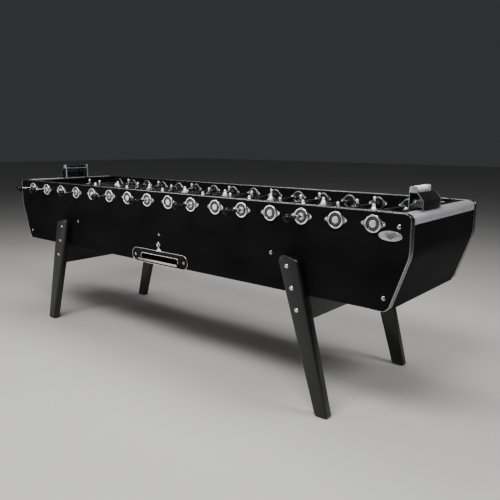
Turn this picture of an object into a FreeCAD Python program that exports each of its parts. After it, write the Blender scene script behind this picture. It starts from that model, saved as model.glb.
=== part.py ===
import FreeCAD, Part
import math
import os

Vec = FreeCAD.Vector

# A long bar football table, in millimetres.
# Origin on the floor under the middle of the table, +X along the table, +Z up.
# The near side is -Y. Half a turn about Z brings the table onto itself, apart from its badge and score units.

# Cabinet
table_top = 900.0
half_length = 1390.0
half_width = 360.0
cabinet_bottom = 511.0
panel_thickness = 28.5
trim_thickness = 3.0
trim_width = 30.0
trim_end = 1240.0            # where the strip stops under the cabinet
top_corner_radius = 30.0
slant_top = 740.0
slant_ratio = 0.339          # sideways run of the slanted end for each millimetre down
kink_radius = 150.0
bottom_corner_radius = 35.0
gap = 0.3                    # clearance between neighbouring boards

# Playing box
playfield_top = 770.0
playfield_thickness = 8.0
end_wall_inner = 1318.0
end_wall_thickness = 12.0
goal_half_width = 105.0
goal_height = 84.0
goal_corner_radius = 20.0
deck_inner = 1306.0
deck_top = 897.0
deck_thickness = 6.0

# Rods
rod_count = 16
rod_pitch = 165.0
rod_height = 851.0
tube_radius = 8.0
inner_rod_radius = 6.5
running_clearance = 0.08
seat_clearance = 0.05        # between a tube and the pieces fixed on it
inner_rod_reach = 250.0      # how far past the middle the inner rod ends
bumper_radius = 13.0
bumper_length = 19.0
bumper_face = 323.0          # outer face of the bumper when it meets the bearing
knob_radius = 20.0
knob_centre = 462.0
tube_socket = 12.0           # length of tube held inside the knob
ferrule_radius = 11.0
ferrule_length = 12.0

# Players, measured from the rod's axis
head_radius = 11.0
head_top = 40.0
hub_radius = 13.0
hub_half_width = 12.0
shoulder_half_width = 12.5
shoulder_half_depth = 9.0
shoulder_top = 20.0
foot_bottom = 76.0
forward_places = (290.0, 110.0, -70.0)
pair_places = (290.0, 40.0)
goalie_places = (71.0,)
near_lines = {1: goalie_places, 2: pair_places}
for line in (4, 6, 8, 10, 12, 14):
    near_lines[line] = forward_places

# Bearings
bush_radius = 28.0
bush_hole_radius = 28.2
bush_recess = 3.0            # how far the bush lies below the rim of the outer flange
flange_radius = 35.0
outer_flange_height = 8.0
inner_flange_height = 6.0
ear_thickness = 3.0
ear_distance = 44.5
ear_radius = 8.0
ear_fillet_radius = 40.0     # the hollow curve between an ear and the round rim
cap_radius = 14.5
bearing_screw_radius = 2.5
bearing_head_radius = 4.5
head_height = 2.2

# Panel screws and leg bolts
panel_screw_places = ((1341.0, 848.0), (-1341.0, 848.0), (1293.0, 565.0), (-1293.0, 565.0),
                      (745.0, 674.0), (-745.0, 674.0), (0.0, 674.0))
panel_screw_radius = 3.0
panel_head_radius = 9.0
panel_head_height = 3.5
panel_screw_depth = 20.0
leg_bolt_places = ((862.0, 637.0), (890.0, 544.0), (918.0, 452.0))
leg_bolt_radius = 5.0
leg_bolt_head_radius = 12.0
leg_bolt_head_height = 5.0
hole_clearance = 0.15

# Legs and beams
leg_thickness = 40.0
leg_outer_foot = 1088.0
leg_outer_ratio = 0.254
leg_inner_foot = 1022.0
leg_inner_ratio = 0.3177
leg_top_outer = 668.0
leg_top_inner = 690.0
leg_corner_radius = 26.0
leg_edge_radius = 12.0
pad_height = 6.0
pad_inset = 6.0
beam_inner = 893.0
beam_outer = 943.0
beam_bottom = 396.0

# Ball return
floor_thickness = 12.0
ramp_thickness = 8.0
ramp_top_end = 1340.0
ramp_top_height = 690.0
trough_half_length = 150.0
ramp_bottom_height = 556.0
ridge_height = 546.0
tray_half_length = 220.0
tray_bottom = 508.0
tray_top = 586.0
tray_plate = 5.0
mouth_half_length = 145.0
mouth_bottom = 525.0
mouth_top = 559.0
mouth_corner_radius = 12.0
lip_reach = 20.0
lip_height = 9.0
lip_wall = 4.0
neck_half_width = 16.0
crest_half_width = 17.0
crest_top = 636.0
tray_screw_offset = 190.0

# Badge
badge_centre_x = 1310.0
badge_centre_z = 811.0
badge_half_length = 48.5
badge_half_height = 19.5
badge_thickness = 3.0

# Score units, given for the right end
case_inner = 1322.0
case_outer = 1380.0
case_step = 1349.0
case_floor = 900.5
case_slant_foot = 936.0
case_slant_head = 1354.0
case_top = 967.5
case_half_width = 90.0
case_wall = 4.0
right_unit_centre = -152.0
left_unit_centre = 28.0
right_bridge_length = 140.0
left_bridge_length = 180.0
bridge_depth = 30.0
bridge_strip = 3.0
bridge_top = 992.0
bridge_block = 8.0
wheel_radius = 11.0
wheel_height = 982.5
wheel_gap = 1.0
axle_radius = 3.0

# Rails
rail_inner = 1350.0
rail_bottom = 857.0
rail_lip = 16.0
end_panel_thickness = 18.0
end_panel_inset = 3.0


def box(x_low, x_high, y_low, y_high, z_low, z_high):
    corner = Vec(x_low, y_low, z_low)
    return Part.makeBox(x_high - x_low, y_high - y_low, z_high - z_low, corner)


def cylinder_y(x, z, radius, y_low, y_high):
    return Part.makeCylinder(radius, y_high - y_low, Vec(x, y_low, z), Vec(0, 1, 0))


def dome_edges(radius, height, face, outward):
    """The profile of a shallow round head, from its crown on the axis to its rim on the face."""
    ball_radius = (radius ** 2 + height ** 2) / (2 * height)
    ball_centre = face + outward * (height - ball_radius)
    half_angle = math.asin(radius / ball_radius) / 2
    crown = Vec(0, face + outward * height, 0)
    rim = Vec(radius, face, 0)
    rise = outward * ball_radius * math.cos(half_angle)
    middle = Vec(ball_radius * math.sin(half_angle), ball_centre + rise, 0)
    return crown, rim, Part.Arc(crown, middle, rim).toShape()


def near_bolt(x, z, shank_radius, head_radius, height, face, tip, domed_tip=False):
    """A bolt along Y with a domed head on the face, and one at its tip too if it is a sleeve and bolt."""
    crown, rim, dome = dome_edges(head_radius, height, face, -1)
    edges = [dome]
    points = [rim, Vec(shank_radius, face, 0), Vec(shank_radius, tip, 0)]
    if domed_tip:
        end, tip_rim, tip_dome = dome_edges(head_radius, height, tip, 1)
        points.append(tip_rim)
        edges.append(tip_dome)
        edges.append(Part.LineSegment(end, crown).toShape())
    else:
        points.append(Vec(0, tip, 0))
        points.append(crown)
    for start, finish in zip(points, points[1:]):
        edges.append(Part.LineSegment(start, finish).toShape())
    profile = Part.Face(Part.Wire(Part.__sortEdges__(edges)))
    bolt = profile.revolve(Vec(0, 0, 0), Vec(0, 1, 0), 360)
    bolt.translate(Vec(x, 0, z))
    return bolt


def rounded_wire(corners):
    """A closed wire in the XZ plane through corners (x, z, radius), each corner rounded by its radius."""
    starts = []
    ends = []
    middles = []
    for index, (x, z, radius) in enumerate(corners):
        here = Vec(x, 0, z)
        previous_corner = corners[index - 1]
        next_corner = corners[(index + 1) % len(corners)]
        back = (Vec(previous_corner[0], 0, previous_corner[1]) - here).normalize()
        ahead = (Vec(next_corner[0], 0, next_corner[1]) - here).normalize()
        half_angle = back.getAngle(ahead) / 2
        reach = radius / math.tan(half_angle)
        bisector = (back + ahead).normalize()
        centre = here + bisector * (radius / math.sin(half_angle))
        starts.append(here + back * reach)
        ends.append(here + ahead * reach)
        middles.append(centre - bisector * radius)
    edges = []
    for index in range(len(corners)):
        if corners[index][2] > 0:
            edges.append(Part.Arc(starts[index], middles[index], ends[index]).toShape())
        following = (index + 1) % len(corners)
        edges.append(Part.LineSegment(ends[index], starts[following]).toShape())
    return Part.Wire(edges)


def plate_xz(corners, y_low, y_high):
    """A flat plate with a rounded outline in the XZ plane."""
    face = Part.Face(rounded_wire(corners))
    face.translate(Vec(0, y_low, 0))
    return face.extrude(Vec(0, y_high - y_low, 0))


def half_turn(shape):
    turned = shape.copy()
    turned.rotate(Vec(0, 0, 0), Vec(0, 0, 1), 180)
    return turned


def mirror_x(shape):
    return shape.mirror(Vec(0, 0, 0), Vec(1, 0, 0))


def rod_x(index):
    return (index - (rod_count + 1) / 2) * rod_pitch


def save(name, shapes):
    shape = shapes[0] if len(shapes) == 1 else Part.makeCompound(shapes)
    shape.exportStep("parts/" + name + ".step")


def side_outline(inset):
    """The outline of the side panel, moved in by inset: upright at the top, slanting in at the bottom."""
    slant_angle = math.atan(slant_ratio)
    kink_x = half_length - inset
    kink_z = slant_top - inset * math.tan(slant_angle / 2)
    floor_z = cabinet_bottom + inset
    floor_x = kink_x - (kink_z - floor_z) * slant_ratio
    return [
        (-kink_x, table_top - inset, top_corner_radius - inset),
        (kink_x, table_top - inset, top_corner_radius - inset),
        (kink_x, kink_z, kink_radius),
        (floor_x, floor_z, bottom_corner_radius - inset),
        (-floor_x, floor_z, bottom_corner_radius - inset),
        (-kink_x, kink_z, kink_radius),
    ]


def mouth_corners(margin):
    radius = mouth_corner_radius + margin
    length = mouth_half_length + margin
    low = mouth_bottom - margin
    high = mouth_top + margin
    return [(-length, high, radius), (length, high, radius), (length, low, radius), (-length, low, radius)]


def near_side_panel():
    """The board that carries the bearings, with the ball mouth and the holes for its screws and bolts."""
    outer = -half_width + (trim_width - panel_thickness) / 2
    inner = outer + panel_thickness
    board = plate_xz(side_outline(trim_thickness), outer, inner)
    cuts = [plate_xz(mouth_corners(0), outer - 1, inner + 1)]
    for index in range(1, rod_count + 1):
        x = rod_x(index)
        cuts.append(cylinder_y(x, rod_height, bush_hole_radius, outer - 1, inner + 1))
        for side in (-1, 1):
            ear = x + side * ear_distance
            hole = bearing_screw_radius + hole_clearance
            cuts.append(cylinder_y(ear, rod_height, hole, outer - 1, inner + 1))
    for x, z in panel_screw_places:
        hole = panel_screw_radius + hole_clearance
        cuts.append(cylinder_y(x, z, hole, outer - 1, outer + panel_screw_depth + hole_clearance))
    for x, z in leg_bolt_places[:2]:
        hole = leg_bolt_radius + hole_clearance
        cuts.append(cylinder_y(x, z, hole, outer - 1, inner + 1))
        cuts.append(cylinder_y(-x, z, hole, outer - 1, inner + 1))
    for side in (-1, 1):
        hole = panel_screw_radius + hole_clearance
        z = (tray_bottom + tray_top) / 2
        cuts.append(cylinder_y(side * tray_screw_offset, z, hole, outer - 1, inner + 1))
    return board.cut(Part.makeCompound(cuts))


def near_edge_trim():
    """The metal strip round the edge of the side panel, open along most of the bottom."""
    outer = plate_xz(side_outline(0), -half_width, -half_width + trim_width)
    inner = plate_xz(side_outline(trim_thickness), -half_width - 1, -half_width + trim_width + 1)
    open_stretch = box(-trim_end, trim_end, -half_width - 1, -half_width + trim_width + 1,
                       cabinet_bottom - 1, cabinet_bottom + trim_thickness + 1)
    return outer.cut(Part.makeCompound([inner, open_stretch]))


def right_end_panel():
    """The end board: upright under the rail, then slanting in like the side panels."""
    slant_angle = math.atan(slant_ratio)
    outer_x = half_length - end_panel_inset
    outer_kink = slant_top - end_panel_inset * math.tan(slant_angle / 2)
    inner_x = outer_x - end_panel_thickness
    inner_kink = outer_kink - end_panel_thickness * math.tan(slant_angle / 2)
    top = rail_bottom - gap
    bottom = cabinet_bottom + trim_thickness
    outer_foot = outer_x - (outer_kink - bottom) * slant_ratio
    inner_foot = inner_x - (inner_kink - bottom) * slant_ratio
    corners = [
        (outer_x, top, 2),
        (outer_x, outer_kink, kink_radius),
        (outer_foot, bottom, 2),
        (inner_foot, bottom, 0),
        (inner_x, inner_kink, kink_radius - end_panel_thickness),
        (inner_x, top, 0),
    ]
    width = half_width - trim_width - gap
    return plate_xz(corners, -width, width)


def right_end_rail():
    """The rounded metal nosing that closes the top of an end."""
    corners = [
        (rail_inner, table_top, 2),
        (half_length, table_top, top_corner_radius),
        (half_length, rail_bottom, 2),
        (half_length - rail_lip, rail_bottom, 0),
        (half_length - rail_lip, table_top - rail_lip, 0),
        (rail_inner, table_top - rail_lip, 0),
    ]
    width = half_width - trim_width - gap
    return plate_xz(corners, -width, width)


def right_end_wall():
    """The wall behind a goalkeeper, with its goal mouth."""
    width = half_width - trim_width - gap
    outer = end_wall_inner + end_wall_thickness
    board = box(end_wall_inner, outer, -width, width, playfield_top + gap, deck_top - deck_thickness - gap)
    goal_top = playfield_top + goal_height
    mouth = rounded_wire([
        (-goal_half_width, goal_top, goal_corner_radius),
        (goal_half_width, goal_top, goal_corner_radius),
        (goal_half_width, playfield_top - 1, 0),
        (-goal_half_width, playfield_top - 1, 0),
    ])
    cutter = Part.Face(mouth).extrude(Vec(0, end_wall_thickness + 2, 0))
    cutter.rotate(Vec(0, 0, 0), Vec(0, 0, 1), 90)
    cutter.translate(Vec(outer + 1, 0, 0))
    return board.cut(cutter)


def right_end_deck():
    """The thin shelf on top of the end wall, up to the end rail."""
    width = half_width - trim_width - gap
    low = deck_top - deck_thickness
    return box(deck_inner, rail_inner - gap, -width, width, low, deck_top)


def playfield():
    width = half_width - trim_width - gap
    length = end_wall_inner + end_wall_thickness
    return box(-length, length, -width, width, playfield_top - playfield_thickness, playfield_top)


def cabinet_floor():
    width = half_width - trim_width - gap
    slant_foot = half_length - (slant_top - cabinet_bottom) * slant_ratio
    length = slant_foot - end_panel_thickness - end_panel_inset - 2
    return box(-length, length, -width, width, cabinet_bottom, cabinet_bottom + floor_thickness)


def right_ball_ramp():
    """The sloping board under the playfield that carries a scored ball to the middle."""
    width = half_width - trim_width - gap
    corners = [
        (trough_half_length, ramp_bottom_height, 0),
        (ramp_top_end, ramp_top_height, 0),
        (ramp_top_end, ramp_top_height - ramp_thickness, 0),
        (trough_half_length, ramp_bottom_height - ramp_thickness, 0),
    ]
    return plate_xz(corners, -width, width)


def ball_trough():
    """The low ridge between the two ball mouths, which sends a ball to one side or the other."""
    width = half_width - trim_width - gap
    low = cabinet_bottom + floor_thickness + gap
    points = [Vec(0, -width, low), Vec(0, width, low), Vec(0, width, mouth_bottom),
              Vec(0, 0, ridge_height), Vec(0, -width, mouth_bottom), Vec(0, -width, low)]
    face = Part.Face(Part.makePolygon(points))
    face.translate(Vec(-trough_half_length + gap, 0, 0))
    return face.extrude(Vec(2 * (trough_half_length - gap), 0, 0))


def near_ball_tray():
    """The metal frame round the ball mouth, with its finial above and the lip that stops the ball below."""
    back = -half_width
    front = back - tray_plate
    middle = (tray_bottom + tray_top) / 2
    end_radius = (tray_top - tray_bottom) / 2 - 0.5
    frame = plate_xz([
        (-tray_half_length, tray_top, end_radius),
        (tray_half_length, tray_top, end_radius),
        (tray_half_length, tray_bottom, end_radius),
        (-tray_half_length, tray_bottom, end_radius),
    ], front, back - gap)
    crest_middle = crest_top - crest_half_width
    neck = plate_xz([
        (-neck_half_width * 2, tray_top - 5, 0),
        (-neck_half_width / 2, crest_middle, 0),
        (neck_half_width / 2, crest_middle, 0),
        (neck_half_width * 2, tray_top - 5, 0),
    ], front, back - gap)
    crest = plate_xz([
        (0, crest_top, 2),
        (crest_half_width, crest_middle, 2),
        (0, crest_middle - crest_half_width, 2),
        (-crest_half_width, crest_middle, 2),
    ], front - 2, back - gap)
    solid = frame.fuse([neck, crest]).cut(plate_xz(mouth_corners(-1), front - 3, back + 1))
    reach = back - lip_reach
    length = mouth_half_length + 10
    shelf = box(-length, length, reach, front + 1, mouth_bottom - lip_wall, mouth_bottom - 1)
    lip_top = mouth_bottom + lip_height
    bar = box(-length, length, reach, reach + lip_wall, mouth_bottom - lip_wall, lip_top)
    cheeks = []
    for side in (-1, 1):
        x_low, x_high = sorted((side * length, side * (length - lip_wall)))
        cheeks.append(box(x_low, x_high, reach, front + 1, mouth_bottom - lip_wall, lip_top))
    solid = solid.fuse([shelf, bar] + cheeks)
    for side in (-1, 1):
        hole = panel_screw_radius + hole_clearance
        solid = solid.cut(cylinder_y(side * tray_screw_offset, middle, hole, front - 1, back))
    return solid.removeSplitter()


def leg_near_right():
    """A splayed tapering board with rounded edges, bolted to the outside of the cabinet."""
    inner_face = -half_width - gap
    outer_face = inner_face - leg_thickness
    corners = [
        (leg_inner_foot - leg_inner_ratio * leg_top_inner, leg_top_inner, leg_corner_radius),
        (leg_outer_foot - leg_outer_ratio * leg_top_outer, leg_top_outer, leg_corner_radius),
        (leg_outer_foot - leg_outer_ratio * pad_height, pad_height, 0),
        (leg_inner_foot - leg_inner_ratio * pad_height, pad_height, 0),
    ]
    board = plate_xz(corners, outer_face, inner_face)
    long_edges = []
    for edge in board.Edges:
        middle = edge.CenterOfMass
        if abs(middle.y - outer_face) < 0.01 and middle.z > pad_height + 1:
            long_edges.append(edge)
    board = board.makeFillet(leg_edge_radius, long_edges)
    for x, z in leg_bolt_places:
        hole = leg_bolt_radius + hole_clearance
        board = board.cut(cylinder_y(x, z, hole, outer_face - 1, inner_face + 1))
    return board


def leg_pad_near_right():
    """The plastic glide under a leg."""
    inner_face = -half_width - gap
    return box(leg_inner_foot + pad_inset, leg_outer_foot - pad_inset, inner_face - leg_thickness + pad_inset,
               inner_face - pad_inset, 0, pad_height)


def right_cross_beam():
    """The beam under the cabinet that ties a near leg to a far leg."""
    beam = box(beam_inner, beam_outer, -half_width, half_width, beam_bottom, cabinet_bottom - gap)
    x, z = leg_bolt_places[2]
    hole = leg_bolt_radius + hole_clearance
    depth = leg_thickness
    for side in (-1, 1):
        y_low, y_high = sorted((side * (half_width + 1), side * (half_width - depth)))
        beam = beam.cut(cylinder_y(x, z, hole, y_low, y_high))
    return beam


def near_leg_bolts():
    """The bolts of both near legs: two through the side panel and one into the beam."""
    face = -half_width - gap - leg_thickness
    bolts = []
    for x, z in leg_bolt_places:
        bolt = near_bolt(x, z, leg_bolt_radius, leg_bolt_head_radius, leg_bolt_head_height,
                         face, -half_width + panel_thickness)
        bolts.append(bolt)
        bolts.append(mirror_x(bolt))
    return bolts


def near_screws():
    """The visible screws of the near side: in the panel, the bearings and the ball tray."""
    panel_face = -half_width + (trim_width - panel_thickness) / 2
    screws = []
    for x, z in panel_screw_places:
        screws.append(near_bolt(x, z, panel_screw_radius, panel_head_radius, panel_head_height,
                                panel_face, panel_face + panel_screw_depth))
    outer_ear = -half_width - ear_thickness
    inner_ear = -half_width + trim_width + ear_thickness
    for index in range(1, rod_count + 1):
        for side in (-1, 1):
            x = rod_x(index) + side * ear_distance
            screws.append(near_bolt(x, rod_height, bearing_screw_radius, bearing_head_radius, head_height,
                                    outer_ear, inner_ear, domed_tip=True))
    tray_face = -half_width - tray_plate
    z = (tray_bottom + tray_top) / 2
    for side in (-1, 1):
        screws.append(near_bolt(side * tray_screw_offset, z, panel_screw_radius, panel_head_radius,
                                panel_head_height, tray_face, tray_face + panel_screw_depth))
    return screws


def ear_plate_wire(x, y):
    """The outline of a bearing plate: a circle with an ear each side, joined to it by hollow curves."""
    to_rim = flange_radius + ear_fillet_radius
    to_ear = ear_radius + ear_fillet_radius
    fillet_x = (to_rim ** 2 - to_ear ** 2 + ear_distance ** 2) / (2 * ear_distance)
    fillet_z = math.sqrt(to_rim ** 2 - fillet_x ** 2)
    fillet_turn = math.atan2(fillet_z, fillet_x - ear_distance)
    rim_turn = math.atan2(fillet_z, fillet_x)

    def arc(centre_x, centre_z, radius, angles):
        points = []
        for angle in angles:
            points.append(Vec(x + centre_x + radius * math.cos(angle), y,
                              rod_height + centre_z + radius * math.sin(angle)))
        return Part.Arc(points[0], points[1], points[2]).toShape()

    edges = []
    for side, facing in ((1, 0), (-1, math.pi)):
        edges.append(arc(side * ear_distance, 0, ear_radius,
                         (facing - fillet_turn, facing, facing + fillet_turn)))
        for up in (-1, 1):
            inward = facing + math.pi
            near_ear = inward + side * up * fillet_turn
            near_rim = inward + side * up * rim_turn
            edges.append(arc(side * fillet_x, up * fillet_z, ear_fillet_radius,
                             (near_ear, (near_ear + near_rim) / 2, near_rim)))
    for up in (-1, 1):
        edges.append(arc(0, 0, flange_radius,
                         (up * rim_turn, up * math.pi / 2, up * (math.pi - rim_turn))))
    return Part.Wire(Part.__sortEdges__(edges))


def flange(x, wall_face, outward, height):
    """A round rim of the given height on a thin plate with two ears, against a wall."""
    rim_low, rim_high = sorted((wall_face, wall_face + outward * height))
    plate_low, plate_high = sorted((wall_face, wall_face + outward * ear_thickness))
    plate = Part.Face(ear_plate_wire(x, plate_low)).extrude(Vec(0, plate_high - plate_low, 0))
    rim = cylinder_y(x, rod_height, flange_radius, rim_low, rim_high)
    cuts = [cylinder_y(x, rod_height, bush_hole_radius, rim_low - 1, rim_high + 1)]
    for side in (-1, 1):
        ear = x + side * ear_distance
        cuts.append(cylinder_y(ear, rod_height, bearing_screw_radius + hole_clearance,
                               plate_low - 1, plate_high + 1))
    return plate.fuse(rim).cut(Part.makeCompound(cuts)).removeSplitter()


def near_flanges():
    """Both bearing plates of each rod on the near side, and the cap or the collar in the middle."""
    cap_face = -half_width - outer_flange_height
    bush_face = cap_face + bush_recess
    pieces = []
    for index in range(1, rod_count + 1):
        x = rod_x(index)
        pieces.append(flange(x, -half_width, -1, outer_flange_height))
        pieces.append(flange(x, -half_width + trim_width, 1, inner_flange_height))
        cap = cylinder_y(x, rod_height, cap_radius, cap_face, bush_face)
        if index in near_lines:
            bore = tube_radius + running_clearance
            cap = cap.cut(cylinder_y(x, rod_height, bore, cap_face - 1, bush_face + 1))
        pieces.append(cap)
    return pieces


def near_bushes():
    """The plain bearings through the side panel: bored for a sliding tube, or closed for a fixed rod."""
    outer_face = -half_width - outer_flange_height + bush_recess
    inner_face = -half_width + trim_width + inner_flange_height
    bushes = []
    for index in range(1, rod_count + 1):
        x = rod_x(index)
        bush = cylinder_y(x, rod_height, bush_radius, outer_face, inner_face)
        if index in near_lines:
            bore = cylinder_y(x, rod_height, tube_radius + running_clearance, outer_face - 1, inner_face + 1)
        else:
            bore_radius = inner_rod_radius + running_clearance
            bore = cylinder_y(x, rod_height, bore_radius, -half_width, inner_face + 1)
        bushes.append(bush.cut(bore))
    return bushes


def player(y):
    """One cast figure, hanging from the rod's axis at the origin, feet down."""
    hub = cylinder_y(0, 0, hub_radius, y - hub_half_width, y + hub_half_width)
    chest = box(-shoulder_half_depth, shoulder_half_depth, y - shoulder_half_width, y + shoulder_half_width,
                0, shoulder_top)
    chest = chest.makeFillet(4, chest.Edges)
    head = Part.makeSphere(head_radius, Vec(0, y, head_top - head_radius))
    # height, half depth along the table, half width across it: hips, knees, ankles, sole
    sections = ((-4, 7.5, 10), (-34, 11, 12), (-60, 13, 13), (-foot_bottom, 14, 13))
    wires = []
    for z, half_depth, half_across in sections:
        low = y - half_across
        high = y + half_across
        wires.append(Part.makePolygon([Vec(-half_depth, low, z), Vec(half_depth, low, z),
                                       Vec(half_depth, high, z), Vec(-half_depth, high, z),
                                       Vec(-half_depth, low, z)]))
    legs = Part.makeLoft(wires, True, True)
    bore = cylinder_y(0, 0, tube_radius + seat_clearance, y - 2 * hub_half_width, y + 2 * hub_half_width)
    return hub.fuse([chest, head, legs]).cut(bore).removeSplitter()


def slide_travel(places):
    """How far a rod slides before its other bumper meets the bearing."""
    return max(places) + min(places)


def near_inner_rod():
    """The solid rod that turns in the far wall and carries the tube."""
    return cylinder_y(0, 0, inner_rod_radius, -inner_rod_reach, half_width - 2)


def near_sliding_rod(places):
    """The tube with its knob, bumpers and players, pushed all the way in."""
    tube_end = knob_centre - knob_radius + tube_socket
    tube = cylinder_y(0, 0, tube_radius, -tube_end, bumper_face)
    tube = tube.cut(cylinder_y(0, 0, inner_rod_radius + running_clearance, -tube_end - 1, bumper_face + 1))
    seat = tube_radius + seat_clearance
    knob = Part.makeSphere(knob_radius, Vec(0, -knob_centre, 0))
    knob = knob.cut(cylinder_y(0, 0, seat, -tube_end - seat_clearance, -knob_centre + knob_radius + 1))
    knob_face = math.sqrt(knob_radius ** 2 - ferrule_radius ** 2) - seat_clearance
    ferrule_start = -knob_centre + knob_face
    knob = knob.cut(box(-knob_radius, knob_radius, ferrule_start, ferrule_start + knob_radius,
                        -knob_radius, knob_radius))
    ferrule = cylinder_y(0, 0, ferrule_radius, ferrule_start + seat_clearance, ferrule_start + ferrule_length)
    ferrule = ferrule.cut(cylinder_y(0, 0, seat, ferrule_start - 1, ferrule_start + ferrule_length + 1))
    pieces = [tube, knob, ferrule]
    for start in (bumper_face - bumper_length, slide_travel(places) - bumper_face):
        bumper = cylinder_y(0, 0, bumper_radius, start, start + bumper_length)
        pieces.append(bumper.cut(cylinder_y(0, 0, seat, start - 1, start + bumper_length + 1)))
    for place in places:
        pieces.append(player(place))
    return pieces


def save_rods():
    """Every near rod, and the same rod after half a turn as one of the far rods."""
    for index, places in near_lines.items():
        place = Vec(rod_x(index), 0, rod_height)
        inner = near_inner_rod()
        inner.translate(place)
        sliding = Part.makeCompound(near_sliding_rod(places))
        sliding.translate(place)
        opposite = rod_count + 1 - index
        save(f"inner_rod_{index:02d}", [inner])
        save(f"rod_{index:02d}", [sliding])
        save(f"inner_rod_{opposite:02d}", [half_turn(inner)])
        save(f"rod_{opposite:02d}", [half_turn(sliding)])


def badge_plate():
    """A plain raised oval."""
    centre = Vec(badge_centre_x, -half_width, badge_centre_z)
    ellipse = Part.Ellipse(Vec(0, 0, 0), badge_half_length, badge_half_height)
    face = Part.Face(Part.Wire([ellipse.toShape()]))
    plate = face.extrude(Vec(0, 0, badge_thickness))
    plate.rotate(Vec(0, 0, 0), Vec(1, 0, 0), 90)
    plate.translate(centre)
    return plate


def score_case():
    """The clear housing of a score unit about y = 0: two side plates and the bent cover between them."""
    outline = [
        (case_inner, deck_top + gap, 0),
        (case_step - gap, deck_top + gap, 0),
        (case_step - gap, case_floor, 0),
        (case_outer, case_floor, 0),
        (case_outer, case_slant_foot, 3),
        (case_slant_head, case_top, 3),
        (case_inner, case_top, 0),
    ]
    near_plate = plate_xz(outline, -case_half_width, -case_half_width + case_wall)
    far_plate = plate_xz(outline, case_half_width - case_wall, case_half_width)
    run = case_outer - case_slant_head
    rise = case_top - case_slant_foot
    lean = math.atan2(run, rise)
    inner_foot = case_slant_foot - case_wall * math.tan(lean / 2)
    inner_head = case_slant_head - case_wall * math.tan((math.pi / 2 - lean) / 2)
    cover = plate_xz([
        (case_outer, case_floor, 0),
        (case_outer, case_slant_foot, 3),
        (case_slant_head, case_top, 3),
        (case_inner, case_top, 0),
        (case_inner, case_top - case_wall, 0),
        (inner_head, case_top - case_wall, 0),
        (case_outer - case_wall, inner_foot, 0),
        (case_outer - case_wall, case_floor, 0),
    ], -case_half_width + case_wall + seat_clearance, case_half_width - case_wall - seat_clearance)
    return Part.makeCompound([near_plate, far_plate, cover])


def score_bridge(length):
    """The metal cradle of a score unit about y = 0, from its near side, with the axle of its two wheels."""
    bottom = case_top + gap
    near_end = -case_half_width
    far_end = near_end + length
    strip = box(case_inner, case_inner + bridge_depth, near_end, far_end, bottom, bottom + bridge_strip)
    blocks = []
    for low in (near_end, far_end - bridge_block):
        blocks.append(box(case_inner, case_inner + bridge_depth, low, low + bridge_block, bottom, bridge_top))
    x = case_inner + bridge_depth / 2
    axle = cylinder_y(x, wheel_height, axle_radius, near_end + 2, far_end - 2)
    return strip.fuse(blocks + [axle])


def score_wheel(bridge_length, order):
    """One of the two finger wheels of a score unit about y = 0: order 0 is the near one."""
    length = bridge_length / 2 - bridge_block
    start = -case_half_width + bridge_block + order * length
    x = case_inner + bridge_depth / 2
    wheel = cylinder_y(x, wheel_height, wheel_radius, start + wheel_gap / 2, start + length - wheel_gap / 2)
    wheel = wheel.makeFillet(wheel_radius / 3, [edge for edge in wheel.Edges if edge.Closed])
    return wheel.cut(cylinder_y(x, wheel_height, axle_radius + running_clearance, start, start + length))


def on_right_end(shape):
    copy = shape.copy()
    copy.translate(Vec(0, right_unit_centre, 0))
    return copy


def on_left_end(shape):
    copy = half_turn(shape)
    copy.translate(Vec(0, left_unit_centre, 0))
    return copy


def save_score_units():
    case = score_case()
    save("score_cases", [on_right_end(case), on_left_end(case)])
    right_bridge = on_right_end(score_bridge(right_bridge_length))
    left_bridge = on_left_end(score_bridge(left_bridge_length))
    save("score_bridges", [right_bridge, left_bridge])
    save("score_wheel_right_near", [on_right_end(score_wheel(right_bridge_length, 0))])
    save("score_wheel_right_far", [on_right_end(score_wheel(right_bridge_length, 1))])
    save("score_wheel_left_near", [on_left_end(score_wheel(left_bridge_length, 1))])
    save("score_wheel_left_far", [on_left_end(score_wheel(left_bridge_length, 0))])


def both_sides(shapes):
    return shapes + [half_turn(shape) for shape in shapes]


def save_cabinet():
    panel = near_side_panel()
    save("side_panel_near", [panel])
    save("side_panel_far", [half_turn(panel)])
    end_panel = right_end_panel()
    save("end_panel_right", [end_panel])
    save("end_panel_left", [half_turn(end_panel)])
    wall = right_end_wall()
    deck = right_end_deck()
    save("end_wall_right", [wall, deck])
    save("end_wall_left", [half_turn(wall), half_turn(deck)])
    save("end_rails", both_sides([right_end_rail()]))
    save("edge_trims", both_sides([near_edge_trim()]))
    save("playfield", [playfield()])
    save("cabinet_floor", [cabinet_floor()])
    save("ball_ramps", both_sides([right_ball_ramp()]) + [ball_trough()])
    save("ball_trays", both_sides([near_ball_tray()]))
    save("badge_plate", [badge_plate()])


def save_bearings_and_screws():
    save("bearing_flanges", both_sides(near_flanges()))
    save("bearing_bushes", both_sides(near_bushes()))
    save("panel_screws", both_sides(near_screws()))
    save("leg_bolts", both_sides(near_leg_bolts()))


def save_legs():
    leg = leg_near_right()
    pad = leg_pad_near_right()
    save("leg_near_right", [leg, pad])
    save("leg_near_left", [mirror_x(leg), mirror_x(pad)])
    save("leg_far_left", [half_turn(leg), half_turn(pad)])
    save("leg_far_right", [half_turn(mirror_x(leg)), half_turn(mirror_x(pad))])
    save("cross_beams", both_sides([right_cross_beam()]))


def main():
    os.makedirs("parts", exist_ok=True)
    save_cabinet()
    save_bearings_and_screws()
    save_legs()
    save_rods()
    save_score_units()


main()
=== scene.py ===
import math

import bmesh
import bpy
from mathutils import Matrix, Vector


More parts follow.
